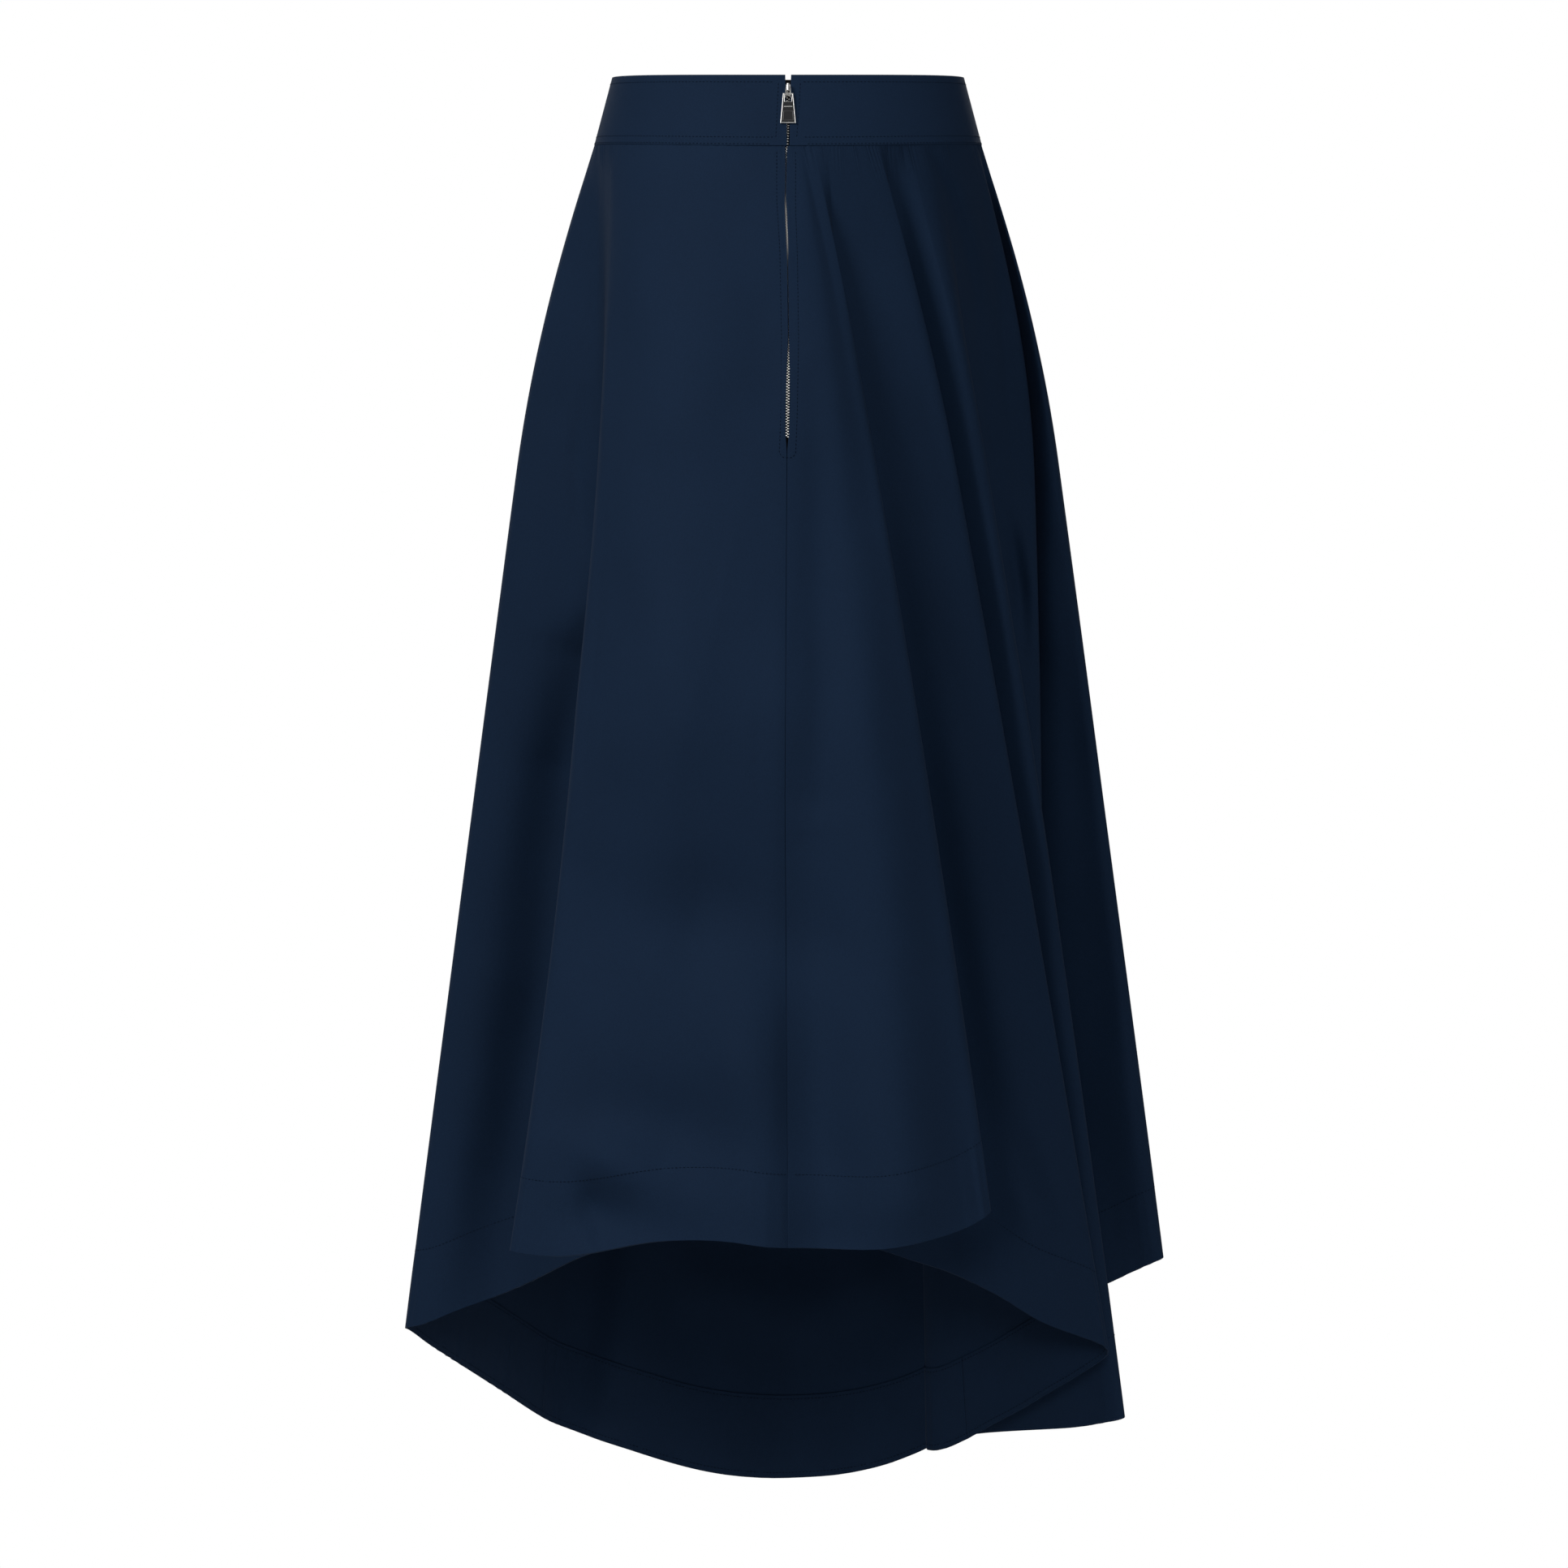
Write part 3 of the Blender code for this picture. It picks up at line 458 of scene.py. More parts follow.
def edge_rows(points):
    """A grid with one more row just inside its first and its last, so that only its edge is rounded."""
    rows = [points[0]]
    for edge, inner in ((points[0], points[1]), (points[-1], points[-2])):
        along = inner - edge
        length = np.linalg.norm(along, axis=-1, keepdims=True)
        rows.append(edge + along * np.minimum(EDGE_ROW / length, 0.4))
    return np.concatenate([[rows[0]], [rows[1]], points[1:-1], [rows[2]], [points[-1]]])


def lengths_along(points, axis=0):
    """How far each point is from the first one along its row or column."""
    steps = np.linalg.norm(np.diff(points, axis=axis), axis=-1)
    return np.concatenate([np.zeros_like(steps.take([0], axis)), np.cumsum(steps, axis)], axis)


def mesh_from_grid(name, points, wall):
    """A cloth piece with a wall, from a grid of points on its outer face: rows down, columns round."""
    points = edge_rows(points)
    points = edge_rows(points.swapaxes(0, 1)).swapaxes(0, 1)
    rows, columns = points.shape[:2]
    index = np.arange(rows * columns).reshape(rows, columns)
    corners = [index[:-1, :-1], index[1:, :-1], index[1:, 1:], index[:-1, 1:]]
    quads = np.stack(corners, axis=-1).reshape(-1, 4)
    mesh = bpy.data.meshes.new(name)
    mesh.from_pydata((points.reshape(-1, 3) * MM).tolist(), [], quads.tolist())
    flat = np.stack([lengths_along(points, 1), lengths_along(points, 0)], axis=-1).reshape(-1, 2) * MM
    layer = mesh.uv_layers.new(name="cut")
    layer.data.foreach_set("uv", flat[quads.reshape(-1)].reshape(-1))
    mesh.shade_smooth()
    obj = add_object(name, mesh)
    solidify = obj.modifiers.new("wall", "SOLIDIFY")
    solidify.thickness = wall * MM
    solidify.offset = -1.0
    return obj


def mesh_object(name, vertices, faces, material):
    """An object from vertices in millimetres."""
    mesh = bpy.data.meshes.new(name)
    mesh.from_pydata((np.asarray(vertices) * MM).tolist(), [], faces)
    mesh.materials.append(material)
    return add_object(name, mesh)


def grid_area(points):
    """The area of a grid of points, in square metres."""
    side = points[1:, :-1] - points[:-1, :-1]
    across = points[:-1, 1:] - points[:-1, :-1]
    return float(np.linalg.norm(np.cross(side, across), axis=-1).sum()) * MM * MM


def slide_edge(points, column, neighbour, distance):
    """Moves one edge column of a grid towards its neighbour by a distance, which may vary by row."""
    along = points[:, neighbour] - points[:, column]
    along /= np.linalg.norm(along, axis=-1, keepdims=True)
    points[:, column] += along * np.broadcast_to(distance, len(points))[:, None]


# The centre front: the seam's line, and half the opening, by level. The zip shows where the edges part
SEAM_LEVELS = (0.0, 0.05, 0.1, 0.18, 0.28, 0.6, 0.9, 1.0)
SEAM_ACROSS = (-1.2, -2.0, -0.4, 0.2, -0.8, -2.2, -0.6, 0.0)
SLIT_LEVELS = (0.0, 0.006, 0.02, 0.045, 0.06, 0.09, 0.11, 0.18, 0.205, 0.235, 0.268, 0.28, 0.29, 1.0)
SLIT_HALVES = (0.8, 0.5, 0.3, 0.3, 0.7, 0.7, 0.3, 0.3, 1.0, 1.5, 1.3, 0.35, 0.15, 0.15)
SLIT_REACH = 12.0


def seam_line(levels):
    """How far to the right of the middle the centre front seam lies, by level."""
    return np.interp(levels, SEAM_LEVELS, SEAM_ACROSS)


def part_at_front(points, levels):
    """Brings the cloth's edge at the centre front to the seam's line, less half the opening there."""
    right = points[:, :, 0].mean() > 0
    edge = points[:, 0 if right else -1, 0].copy()
    target = seam_line(levels) + (1 if right else -1) * np.interp(levels, SLIT_LEVELS, SLIT_HALVES)
    share = np.clip(1 - np.abs(points[..., 0] - edge[:, None]) / SLIT_REACH, 0, 1)
    points[..., 0] += share * (target - edge)[:, None] * (points[..., 1] < 0)


def panel_levels():
    """Rows of a skirt panel: close at the waist seam, even below it."""
    top = np.linspace(0, 0.3, 50)[:-1]
    rest = np.linspace(0.3, 1.0, 92)
    return np.concatenate([top, rest])


def finish_cloth(obj, material, node):
    """Gives a cloth piece its material and puts it in the place of its solid."""
    obj.data.materials.append(material)
    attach(obj, "skirt")
    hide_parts(node)
    return obj


def join_runs(runs):
    return np.concatenate([runs[0]] + [run[1:] for run in runs[1:]])


def panel_points(cloth, runs, levels, inwards=0.0):
    place, level = np.meshgrid(join_runs(runs), levels)
    return cloth.surface(place, level, inwards)[0]


def make_panels(cloth, runs, material):
    levels = panel_levels()
    for name, own_runs, flat in (
        ("panel_front_right", runs["front_right"], (1.35, 0.98)),
        ("panel_back", runs["back"], (0.95, 1.04)),
        ("panel_front_left", runs["front_left"], (0.72, 0.92)),
    ):
        points = panel_points(cloth, own_runs, levels)
        if name == "panel_back":
            slide_edge(points, 0, 1, 0.15)
            slide_edge(points, -1, -2, 0.15)
        else:
            part_at_front(points, levels)
        obj = finish_cloth(mesh_from_grid(name + "_cloth", points, WALL), material, name)


def make_facings(cloth, runs, material):
    levels = np.linspace(FACING_TOP, FACING_FOOT, 9)
    for name in ("facing_front", "facing_side", "facing_back"):
        points = panel_points(cloth, runs[name], levels, FACING_LIFT)
        slide_edge(points, 0, 1, 0.2)
        slide_edge(points, -1, -2, 0.2)
        length = round(float(lengths_along(points[-1])[-1]) * MM, 3)
        obj = finish_cloth(mesh_from_grid(name + "_cloth", points, FACING_WALL), material, name)


def band_surface(angles, shares, outwards=BAND_PROUD):
    """Points of the waistband's outer face, one row for each share of the way down, and the way out."""
    angles = np.asarray(angles, float)
    top = ring_point(WAIST_TOP, angles)
    seam = ring_point(WAIST_SEAM, angles)
    tangent = ring_point(WAIST_TOP, angles + 0.5) - ring_point(WAIST_TOP, angles - 0.5)
    out = np.cross(seam - top, tangent)
    out /= np.linalg.norm(out, axis=-1, keepdims=True)
    rows = [top + (seam - top) * share + out * outwards for share in np.atleast_1d(shares)]
    return np.stack(rows), np.broadcast_to(out, (len(rows), *out.shape))


def make_waistband(material):
    angles = -90 + np.linspace(0, 360, 241)
    shares = np.linspace(0, 1, 12)
    points, _ = band_surface(angles, shares)
    opening = np.interp(shares, (0, 0.4, 1), (2.1, 1.3, 0.9))
    slide_edge(points, 0, 1, opening)
    slide_edge(points, -1, -2, opening)
    obj = finish_cloth(mesh_from_grid("waistband_cloth", points, BAND_WALL), material, "waistband")
    area = round(grid_area(points), 4)


# The sewing
STITCH_LENGTH = 1.8
STITCH_PITCH = 2.8
STITCH_HALF = 0.3
STITCH_PROUD = 0.2
STITCH_SIDES = 5
BAND_STITCHES = ((0.102, 4.6), (0.883, 4.6), (0.978, 5.4))  # share of the way down, and degrees off the zip
BAND_ENDS = (0.11, 0.5, 0.88)                               # the rows beside the zip, on the band
BAND_LEFT, BAND_RIGHT = (-7.0, -7.6, -8.2), (8.7, 7.4, 5.6)
ZIP_LEVELS_LEFT = (0, 0.05, 0.1, 0.18, 0.25, 0.286)         # and on the cloth, down to below the zip
ZIP_LEVELS_RIGHT = (0, 0.06, 0.1, 0.18, 0.25, 0.286)
ZIP_LEFT = (-8.3, -8.3, -6.0, -4.8, -5.3, -6.4)
ZIP_RIGHT = (5.3, 5.3, 6.5, 7.4, 6.4, 5.2)
ZIP_STITCH_TOP, ZIP_STITCH_FOOT, ZIP_STITCH_END = 0.005, 0.286, 0.29


def stitch_row(points, outs):
    """Vertices and faces of a row of stitches along a line on the cloth."""
    total = lengths_along(points)
    vertices, faces = [], []
    for middle in np.arange(STITCH_PITCH / 2, total[-1], STITCH_PITCH):
        ends = [middle - STITCH_LENGTH / 2, middle, middle + STITCH_LENGTH / 2]
        line = np.stack([np.interp(ends, total, points[:, i]) for i in range(3)], -1)
        out = np.array([np.interp(middle, total, outs[:, i]) for i in range(3)])
        out /= np.linalg.norm(out)
        along = line[2] - line[0]
        along /= np.linalg.norm(along)
        side = np.cross(out, along)
        first = len(vertices)
        vertices.append(line[0] - out * 0.05)
        for share in (-0.55, 0.55):
            centre = line[1] + along * share * STITCH_LENGTH / 2
            for turn in range(STITCH_SIDES):
                angle = 2 * math.pi * turn / STITCH_SIDES
                vertices.append(centre + side * STITCH_HALF * math.cos(angle)
                                + out * (STITCH_PROUD * (0.4 + math.sin(angle))))
        vertices.append(line[2] - out * 0.05)
        last = first + 1 + 2 * STITCH_SIDES
        for turn in range(STITCH_SIDES):
            a, b = first + 1 + turn, first + 1 + (turn + 1) % STITCH_SIDES
            faces.append((first, b, a))
            faces.append((a, b, b + STITCH_SIDES, a + STITCH_SIDES))
            faces.append((last, a + STITCH_SIDES, b + STITCH_SIDES))
    return vertices, faces


def make_stitches(name, rows, material):
    """One piece for several rows of stitches, each a line of points and their outward directions."""
    vertices, faces = [], []
    for points, outs in rows:
        new_vertices, new_faces = stitch_row(np.asarray(points), np.asarray(outs))
        faces += [tuple(i + len(vertices) for i in face) for face in new_faces]
        vertices += new_vertices
    obj = mesh_object(name, vertices, faces, material)
    obj.data.shade_smooth()
    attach(obj, "skirt")


def front_line(cloth, levels, offset, inwards=0.0):
    """A line down the front at a distance sideways of the centre front, which may vary by level."""
    middle = cloth.place_of_ring(-90)
    offsets = np.broadcast_to(offset, len(levels))
    points, outs = [], []
    for level, across in zip(levels, offsets):
        places = middle + np.linspace(-90, 90, 91)
        row, out = cloth.surface(places, np.full(91, level), inwards)
        order = np.argsort(row[:, 0])
        points.append([np.interp(across, row[order, 0], row[order, i]) for i in range(3)])
        outs.append([np.interp(across, row[order, 0], out[order, i]) for i in range(3)])
    return np.array(points), np.array(outs)


def band_line(shares, offset):
    """A line down the band's front at a distance sideways of the centre front, which may vary by row."""
    points, outs = [], []
    for share, across in zip(shares, np.broadcast_to(offset, len(shares))):
        row, out = band_surface([-90 + math.degrees(across / WAIST_TOP["half_width"])], [share])
        points.append(row[0, 0])
        outs.append(out[0, 0])
    return np.array(points), np.array(outs)


def hem_line(cloth, level, inwards=0.0):
    """A line round the cloth at one level. One that is set inwards faces in."""
    places = np.arange(cloth.place_of_ring(-89.9), cloth.place_of_ring(269.9), 3.0)
    points, outs = cloth.surface(places, np.full(len(places), level), inwards)
    return points, (-outs if inwards else outs)


def make_sewing(cloth, thread):
    """The topstitching outside, and the two rows that hold the facing inside."""
    rows = []
    for share, gap in BAND_STITCHES:
        angles = np.linspace(-90 + gap, 270 - gap, 360)
        points, outs = band_surface(angles, [share])
        rows.append((points[0], outs[0]))
    rows.append(band_line(BAND_ENDS, BAND_LEFT))
    rows.append(band_line(BAND_ENDS, BAND_RIGHT))
    levels = np.linspace(ZIP_STITCH_TOP, ZIP_STITCH_FOOT, 60)
    left = np.interp(levels, ZIP_LEVELS_LEFT, ZIP_LEFT)
    right = np.interp(levels, ZIP_LEVELS_RIGHT, ZIP_RIGHT)
    rows.append(front_line(cloth, levels, left))
    rows.append(front_line(cloth, levels, right))
    foot_levels = (ZIP_STITCH_FOOT, ZIP_STITCH_END, ZIP_STITCH_END, ZIP_STITCH_FOOT)
    foot = np.interp(np.linspace(-1, 1, 9), (-1, -0.6, 0.6, 1), foot_levels)
    rows.append(front_line(cloth, foot, np.linspace(left[-1], right[-1], 9)))
    rows.append(hem_line(cloth, FACING_TOP))
    make_stitches("topstitching", rows, thread)
    inside = FACING_LIFT + FACING_WALL
    rows = [hem_line(cloth, level, inside) for level in (FACING_TOP + 0.003, FACING_FOOT - 0.003)]
    make_stitches("facing_stitching", rows, thread)


# The zip's teeth
TOOTH_PITCH = 2.0
TOOTH_SIZE = (1.35, 1.15, 0.85)     # across, in and out, along the chain
TOOTH_SIDE = 0.72                   # from the middle of the chain to the middle of a tooth's head
CHAIN_DEPTH = 1.5                   # from the cloth's outside in to the middle of the teeth
CHAIN_FOOT = 0.2715
TAPE_EDGE_HALF = 3.2                # from the middle of the chain to the edge of what shows of the tapes
TAPE_EDGE_DEPTH = CHAIN_DEPTH + 0.75
TAPE_EDGE_FOOT = 0.284
TAPE_EDGE_WALL = 0.4


def chain_line(cloth):
    """The middle of the chain, from under the slider to the stop, and the way out from it."""
    levels = np.linspace(0.0, CHAIN_FOOT, 140)
    skirt, skirt_out = front_line(cloth, levels, seam_line(levels), CHAIN_DEPTH)
    band, band_out = band_line((0.3, 0.6, 0.9), (0.0, -0.4, -0.9))
    line = np.concatenate([band - band_out * (CHAIN_DEPTH + BAND_PROUD), skirt])
    return line, np.concatenate([band_out, skirt_out])


def make_teeth(cloth, metal):
    """Two rows of teeth that interlock down the opening."""
    line, outs = chain_line(cloth)
    total = lengths_along(line)
    vertices, faces = [], []
    across = np.array([1.0, 0, 0])
    for number, along in enumerate(np.arange(1.0, total[-1], TOOTH_PITCH / 2)):
        centre = np.array([np.interp(along, total, line[:, i]) for i in range(3)])
        ahead = np.array([np.interp(along + 1, total, line[:, i]) for i in range(3)])
        out = np.array([np.interp(along, total, outs[:, i]) for i in range(3)])
        down = ahead - centre
        down /= np.linalg.norm(down) or 1
        side = 1 if number % 2 else -1
        centre = centre + across * side * TOOTH_SIDE
        first = len(vertices)
        for corner in range(8):
            x = TOOTH_SIZE[0] / 2 * (1 if corner & 1 else -1)
            y = TOOTH_SIZE[1] / 2 * (1 if corner & 2 else -1)
            z = TOOTH_SIZE[2] / 2 * (1 if corner & 4 else -1)
            vertices.append(centre + across * x + out * y + down * z)
        for face in ((0, 1, 3, 2), (4, 6, 7, 5), (0, 4, 5, 1), (2, 3, 7, 6), (0, 2, 6, 4), (1, 5, 7, 3)):
            faces.append(tuple(first + i for i in face))
    obj = mesh_object("zip_teeth", np.array(vertices), faces, metal)
    bevel = obj.modifiers.new("edges", "BEVEL")
    bevel.width = 0.2 * MM
    bevel.segments = 2
    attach(obj, "skirt")
    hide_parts("zip_chain")


def make_tape_edges(cloth, tape):
    """The woven edges of the two tapes, which show as black between the teeth and in the notch."""
    levels = np.linspace(0.0, TAPE_EDGE_FOOT, 90)
    columns = []
    for across in (-TAPE_EDGE_HALF, 0.0, TAPE_EDGE_HALF):
        skirt, _ = front_line(cloth, levels, seam_line(levels) + across, TAPE_EDGE_DEPTH)
        band, band_out = band_line((0.055, 0.3, 0.6, 0.9), np.array((0.6, 0.0, -0.4, -0.9)) + across)
        columns.append(np.concatenate([band - band_out * (TAPE_EDGE_DEPTH + BAND_PROUD), skirt]))
    obj = mesh_from_grid("zip_tape_edges", np.stack(columns, axis=1), TAPE_EDGE_WALL)
    obj.data.materials.append(tape)
    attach(obj, "skirt")


# The pull tab's trim, in millimetres down the band's slope as on the solid
TAB_BAR = 15.6
TAB_HEIGHT = 2.375
TAB_WALL = 0.9
TAB_LEAN = 2.4
TAB_ROWS = (15.1, 16.1, 21.2, 37.2)
TAB_TOP_HALF = 3.5
TAB_FOOT_HALF = 5.5
TAB_SLOT_HALF = 2.45
RIM_WIDTH = 0.5
RIM_PROUD = 0.18
SLOT_RIM = 0.3
BAR_HALF, BAR_TOP, BAR_FOOT = 3.0, 24.6, 25.3
FRAME_TOP, FRAME_FOOT, FRAME_INSET = 28.2, 35.2, 1.5
FRAME_LINE = 0.25


def band_frame():
    """The middle of the band's top edge in front, the way down its slope and the way out from it."""
    top = Vector(ring_point(WAIST_TOP, SEAM_FRONT))
    seam = Vector(ring_point(WAIST_SEAM, SEAM_FRONT))
    top.x = seam.x = 0.0
    down = (seam - top).normalized()
    out = Vector((1, 0, 0)).cross(down)
    return top, down, -out if out.y > 0 else out


def on_tab(side, row, out_by):
    """A point of the tab, from how far it is across, down the slope, and out from the tab's middle plane."""
    top, down, out = band_frame()
    lean = math.radians(TAB_LEAN)
    along = row - TAB_BAR
    down_by = TAB_BAR + along * math.cos(lean) - out_by * math.sin(lean)
    height = TAB_HEIGHT - along * math.sin(lean) + out_by * math.cos(lean)
    return top + Vector((side, 0, 0)) + down * down_by + out * height


def tab_half(row):
    """Half the tab's width at a row."""
    share = (row - TAB_ROWS[0]) / (TAB_ROWS[3] - TAB_ROWS[0])
    return TAB_TOP_HALF + (TAB_FOOT_HALF - TAB_TOP_HALF) * share


def flat_loop(outer, inner, low, high):
    """Vertices and faces of a flat closed frame between two outlines of the same number of points."""
    count = len(outer)
    vertices = [on_tab(side, row, height) for height in (low, high) for loop in (outer, inner)
                for side, row in loop]
    faces = []
    for i in range(count):
        following = (i + 1) % count
        low_outer, low_inner, high_outer, high_inner = [
            (i + count * block, following + count * block) for block in range(4)]
        faces.append((high_outer[0], high_outer[1], high_inner[1], high_inner[0]))
        faces.append((low_outer[0], low_inner[0], low_inner[1], low_outer[1]))
        faces.append((low_outer[0], low_outer[1], high_outer[1], high_outer[0]))
        faces.append((low_inner[0], high_inner[0], high_inner[1], low_inner[1]))
    return [tuple(vertex) for vertex in vertices], faces


def tab_outline(first, last, inset):
    """The four corners of the tab between two rows, set in by a width."""
    return [(-tab_half(first) + inset, first), (tab_half(first) - inset, first),
            (tab_half(last) - inset, last), (-tab_half(last) + inset, last)]


def square(half, first, last):
    return [(-half, first), (half, first), (half, last), (-half, last)]


def make_tab_trim(metal, line):
    """The tab's bright rims, its bar and its square frame, over the enamel."""
    face = TAB_WALL / 2
    top, foot = TAB_ROWS[0], TAB_ROWS[3]
    slot = square(TAB_SLOT_HALF, TAB_ROWS[1], TAB_ROWS[2])
    slot_rim = square(TAB_SLOT_HALF + SLOT_RIM, TAB_ROWS[1] - SLOT_RIM, TAB_ROWS[2] + SLOT_RIM)
    rim = tab_outline(top - 0.1, foot + 0.1, -0.1)
    rim_inner = tab_outline(top + 0.4, foot - 0.4, RIM_WIDTH)
    frame = tab_outline(FRAME_TOP, FRAME_FOOT, FRAME_INSET)
    frame_inner = tab_outline(FRAME_TOP + FRAME_LINE, FRAME_FOOT - FRAME_LINE, FRAME_INSET + FRAME_LINE)
    bar = square(BAR_HALF, BAR_TOP, BAR_FOOT)
    bar_inner = square(BAR_HALF - 0.2, BAR_TOP + 0.3, BAR_FOOT - 0.3)
    pieces = (
        ("tab_rim", rim, rim_inner, -face - 0.1, face + RIM_PROUD),
        ("tab_slot_rim", slot_rim, slot, -face - 0.1, face + RIM_PROUD),
        ("tab_bar", bar, bar_inner, face - 0.1, face + RIM_PROUD),
        ("tab_frame", frame, frame_inner, face - 0.1, face + 0.06),
    )
    for name, outer, inner, low, high in pieces:
        vertices, faces = flat_loop(outer, inner, low, high)
        obj = mesh_object(name, np.array(vertices), faces, line if name == "tab_frame" else metal)
        bevel = obj.modifiers.new("edges", "BEVEL")
        bevel.width = 0.08 * MM
        bevel.segments = 2
        bevel.limit_method = "ANGLE"
        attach(obj, "tab")


# Materials and colours
NAVY = (0.0088, 0.0245, 0.0590)
THREAD_NAVY = (0.0036, 0.0090, 0.021)
BRIGHT_METAL = (0.66, 0.65, 0.63)
BLACK = (0.003, 0.003, 0.004)
DARK_METAL = (0.12, 0.12, 0.12)
THREAD_WAVE = 520.0         # the wave texture's scale for threads 0.6 mm apart


def new_material(name):
    material = bpy.data.materials.new(name)
    material.use_nodes = True
    return material, material.node_tree.nodes, material.node_tree.links


def principled(nodes, colour, roughness, metallic=0.0):
    shader = nodes["Principled BSDF"]
    shader.inputs["Base Color"].default_value = (*colour, 1.0)
    shader.inputs["Roughness"].default_value = roughness
    shader.inputs["Metallic"].default_value = metallic
    return shader


def thread_wave(nodes, direction):
    """The threads that run one way, as fine rounded ridges."""
    wave = nodes.new("ShaderNodeTexWave")
    wave.bands_direction = direction
    wave.inputs["Scale"].default_value = THREAD_WAVE
    wave.inputs["Distortion"].default_value = 1.2
    wave.inputs["Detail"].default_value = 1.0
    return wave


def noise(nodes, scale, detail):
    texture = nodes.new("ShaderNodeTexNoise")
    texture.inputs["Scale"].default_value = scale
    texture.inputs["Detail"].default_value = detail
    return texture


def multiply(nodes, links, first, second, factor):
    """Two colours multiplied, the second one by this share."""
    mix = nodes.new("ShaderNodeMix")
    mix.data_type = "RGBA"
    mix.blend_type = "MULTIPLY"
    mix.inputs["Factor"].default_value = factor
    if isinstance(first, tuple):
        mix.inputs["A"].default_value = first
    else:
        links.new(first, mix.inputs["A"])
    links.new(second, mix.inputs["B"])
    return mix.outputs["Result"]


def navy_cotton():
    """Fine matt cotton: crossed threads in the bump, specks and a faint broad unevenness in the colour, and
    painted shade: the colour is darker where the threads' bump is low, in the hollows between them.
    """
    material, nodes, links = new_material("navy_cotton")
    shader = principled(nodes, NAVY, 0.8)
    shader.inputs["Specular IOR Level"].default_value = 0.08
    shader.inputs["Sheen Weight"].default_value = 0.02
    shader.inputs["Sheen Roughness"].default_value = 0.6
    shader.inputs["Sheen Tint"].default_value = (0.35, 0.5, 0.8, 1.0)
    cut = nodes.new("ShaderNodeUVMap")
    cut.uv_map = "cut"
    place = nodes.new("ShaderNodeTexCoord")
    warp, weft = thread_wave(nodes, "X"), thread_wave(nodes, "Y")
    crossed = nodes.new("ShaderNodeMath")
    crossed.operation = "MAXIMUM"
    for wave, socket in zip((warp, weft), crossed.inputs):
        links.new(cut.outputs["UV"], wave.inputs["Vector"])
        links.new(wave.outputs["Fac"], socket)
    specks, broad = noise(nodes, 1100.0, 2.0), noise(nodes, 11.0, 2.0)
    links.new(place.outputs["Object"], specks.inputs["Vector"])
    links.new(place.outputs["Object"], broad.inputs["Vector"])
    tone_and_weave_shade = multiply(nodes, links, (*NAVY, 1.0), specks.outputs["Fac"], 0.35)
    tone_and_weave_shade = multiply(nodes, links, tone_and_weave_shade, broad.outputs["Fac"], 0.18)
    # painted shade: the colour is darkened by up to a quarter where the crossed threads' bump is low, between
    # the threads
    tone_and_weave_shade = multiply(nodes, links, tone_and_weave_shade, crossed.outputs["Value"], 0.25)
    links.new(tone_and_weave_shade, shader.inputs["Base Color"])
    bump = nodes.new("ShaderNodeBump")
    bump.inputs["Strength"].default_value = 0.35
    bump.inputs["Distance"].default_value = 0.00015
    links.new(crossed.outputs["Value"], bump.inputs["Height"])
    links.new(bump.outputs["Normal"], shader.inputs["Normal"])
    return material


def plain(name, colour, roughness, metallic=0.0, specular=0.5):
    material, nodes, _ = new_material(name)
    shader = principled(nodes, colour, roughness, metallic)
    shader.inputs["Specular IOR Level"].default_value = specular
    return material


def repaint(node, material):
    node.data.materials.clear()
    node.data.materials.append(material)


def aim(obj, target):
    obj.rotation_mode = "QUATERNION"
    obj.rotation_quaternion = (Vector(target) - obj.location).to_track_quat("-Z", "Y")


def area_light(name, place, target, size, energy):
    data = bpy.data.lights.new(name, "AREA")
    data.size = size
    data.energy = energy
    obj = add_object(name, data)
    obj.location = place
    aim(obj, target)


def make_studio():
    """White all round for the camera, and soft light: most of it from the upper left in front, some from
    straight in front and the right, and two lamps for the back."""
    scene = bpy.context.scene
    scene.view_settings.view_transform = "Standard"
    world = bpy.data.worlds.new("studio")
    scene.world = world
    world.use_nodes = True
    nodes, links = world.node_tree.nodes, world.node_tree.links
    seen = nodes["Background"]
    seen.inputs["Color"].default_value = (1, 1, 1, 1)
    seen.inputs["Strength"].default_value = 1.0
    lit = nodes.new("ShaderNodeBackground")
    lit.inputs["Color"].default_value = (0.93, 0.96, 1.0, 1)
    place = nodes.new("ShaderNodeTexCoord")
    split = nodes.new("ShaderNodeSeparateXYZ")
    height = nodes.new("ShaderNodeMapRange")
    height.inputs["From Min"].default_value = -0.3
    height.inputs["From Max"].default_value = 0.6
    height.inputs["To Min"].default_value = 0.015
    height.inputs["To Max"].default_value = 0.26
    links.new(place.outputs["Generated"], split.inputs["Vector"])
    links.new(split.outputs["Z"], height.inputs["Value"])
    links.new(height.outputs["Result"], lit.inputs["Strength"])
    path = nodes.new("ShaderNodeLightPath")
    pick = nodes.new("ShaderNodeMixShader")
    links.new(path.outputs["Is Camera Ray"], pick.inputs["Fac"])
    links.new(lit.outputs["Background"], pick.inputs[1])
    links.new(seen.outputs["Background"], pick.inputs[2])
    links.new(pick.outputs["Shader"], nodes["World Output"].inputs["Surface"])
    area_light("key", (-1.8, -1.9, 1.5), (0, 0, -0.5), 1.0, 60)
    area_light("front", (0.2, -4.2, 0.7), (0, 0, -0.6), 1.0, 33)
    area_light("side", (2.4, -2.8, 0.1), (0, 0, -0.5), 1.4, 23)
    area_light("back_key", (0.8, 3.7, 2.2), (0, 0, -0.5), 1.3, 120)
    area_light("back_fill", (-2.0, 3.6, 0.9), (0, 0, -0.6), 2.0, 24)


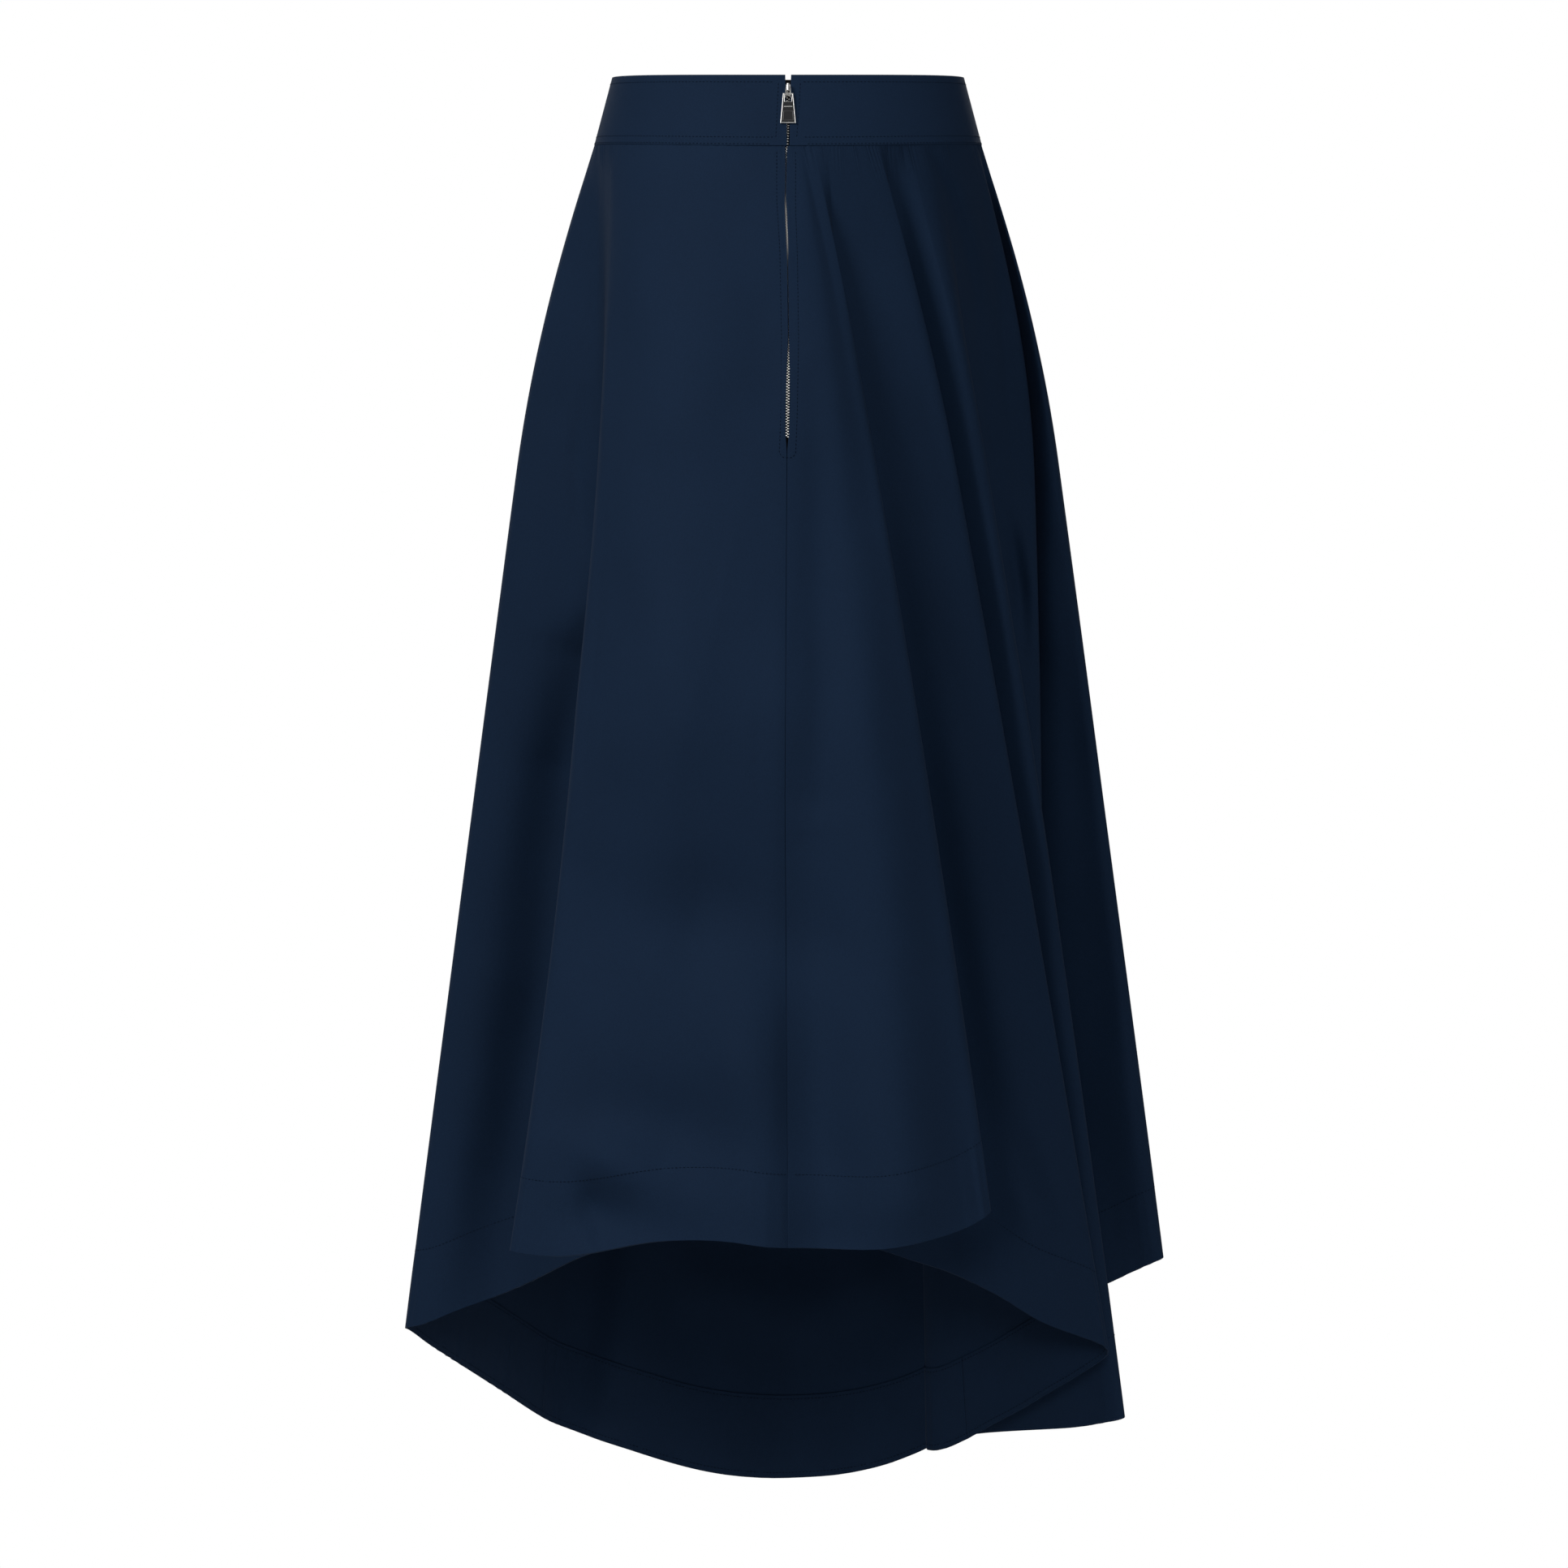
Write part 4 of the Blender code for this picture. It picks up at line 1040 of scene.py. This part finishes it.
def make_floor():
    """A plain pale floor under the skirt, below what the camera sees."""
    bpy.ops.mesh.primitive_circle_add(vertices=96, radius=1.25, fill_type="NGON", location=(0, 0, -1.32))
    floor = bpy.context.object
    floor.name = "floor"
    floor.data.materials.append(plain("floor_white", (0.6, 0.6, 0.6), 0.7))


def make_camera():
    data = bpy.data.cameras.new("camera")
    data.sensor_width = SENSOR
    data.lens = SENSOR * FOCAL_PIXELS / PHOTO_PIXELS
    camera = add_object("camera", data)
    camera.location = Vector(CAMERA_PLACE) * MM
    camera.rotation_euler = (math.pi / 2, 0, 0)
    bpy.context.scene.camera = camera


def main():
    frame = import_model()
    cloth = Cloth()
    marks = (-90, JOINT_RIGHT, SEAM_RIGHT, JOINT_BACK, JOINT_LEFT, SEAM_LEFT, 270)
    places = [cloth.place_of_ring(angle) for angle in marks]
    run = dict(zip(("front_a", "front_b", "back_a", "side", "back_b", "left"), cloth.columns(places)))
    whole_round = [piece - cloth.count for piece in (run["back_b"], run["left"])]
    runs = {
        "front_right": [run["front_a"], run["front_b"]],
        "back": [run["back_a"], run["side"], run["back_b"]],
        "front_left": [run["left"]],
        "facing_front": [*whole_round, run["front_a"]],
        "facing_back": [run["front_b"], run["back_a"]],
        "facing_side": [run["side"]],
    }
    cotton = navy_cotton()
    thread = plain("thread", THREAD_NAVY, 0.8, 0.0, 0.05)
    metal = plain("zip_metal", BRIGHT_METAL, 0.3, 1.0)
    tape = plain("zip_tape", BLACK, 0.9, 0.0, 0.1)
    enamel = plain("tab_enamel", BLACK, 0.25)
    make_panels(cloth, runs, cotton)
    make_facings(cloth, runs, cotton)
    make_waistband(cotton)
    make_sewing(cloth, thread)
    make_teeth(cloth, metal)
    make_tape_edges(cloth, tape)
    make_tab_trim(metal, plain("tab_line", DARK_METAL, 0.4, 1.0))
    for name, material in (("zip_tape_left", tape), ("zip_tape_right", tape), ("zip_bottom_stop", metal),
                           ("zip_slider", metal), ("pull_link", metal), ("pull_tab", enamel)):
        repaint(frame["nodes"][name], material)
    make_studio()
    make_floor()
    make_camera()


main()
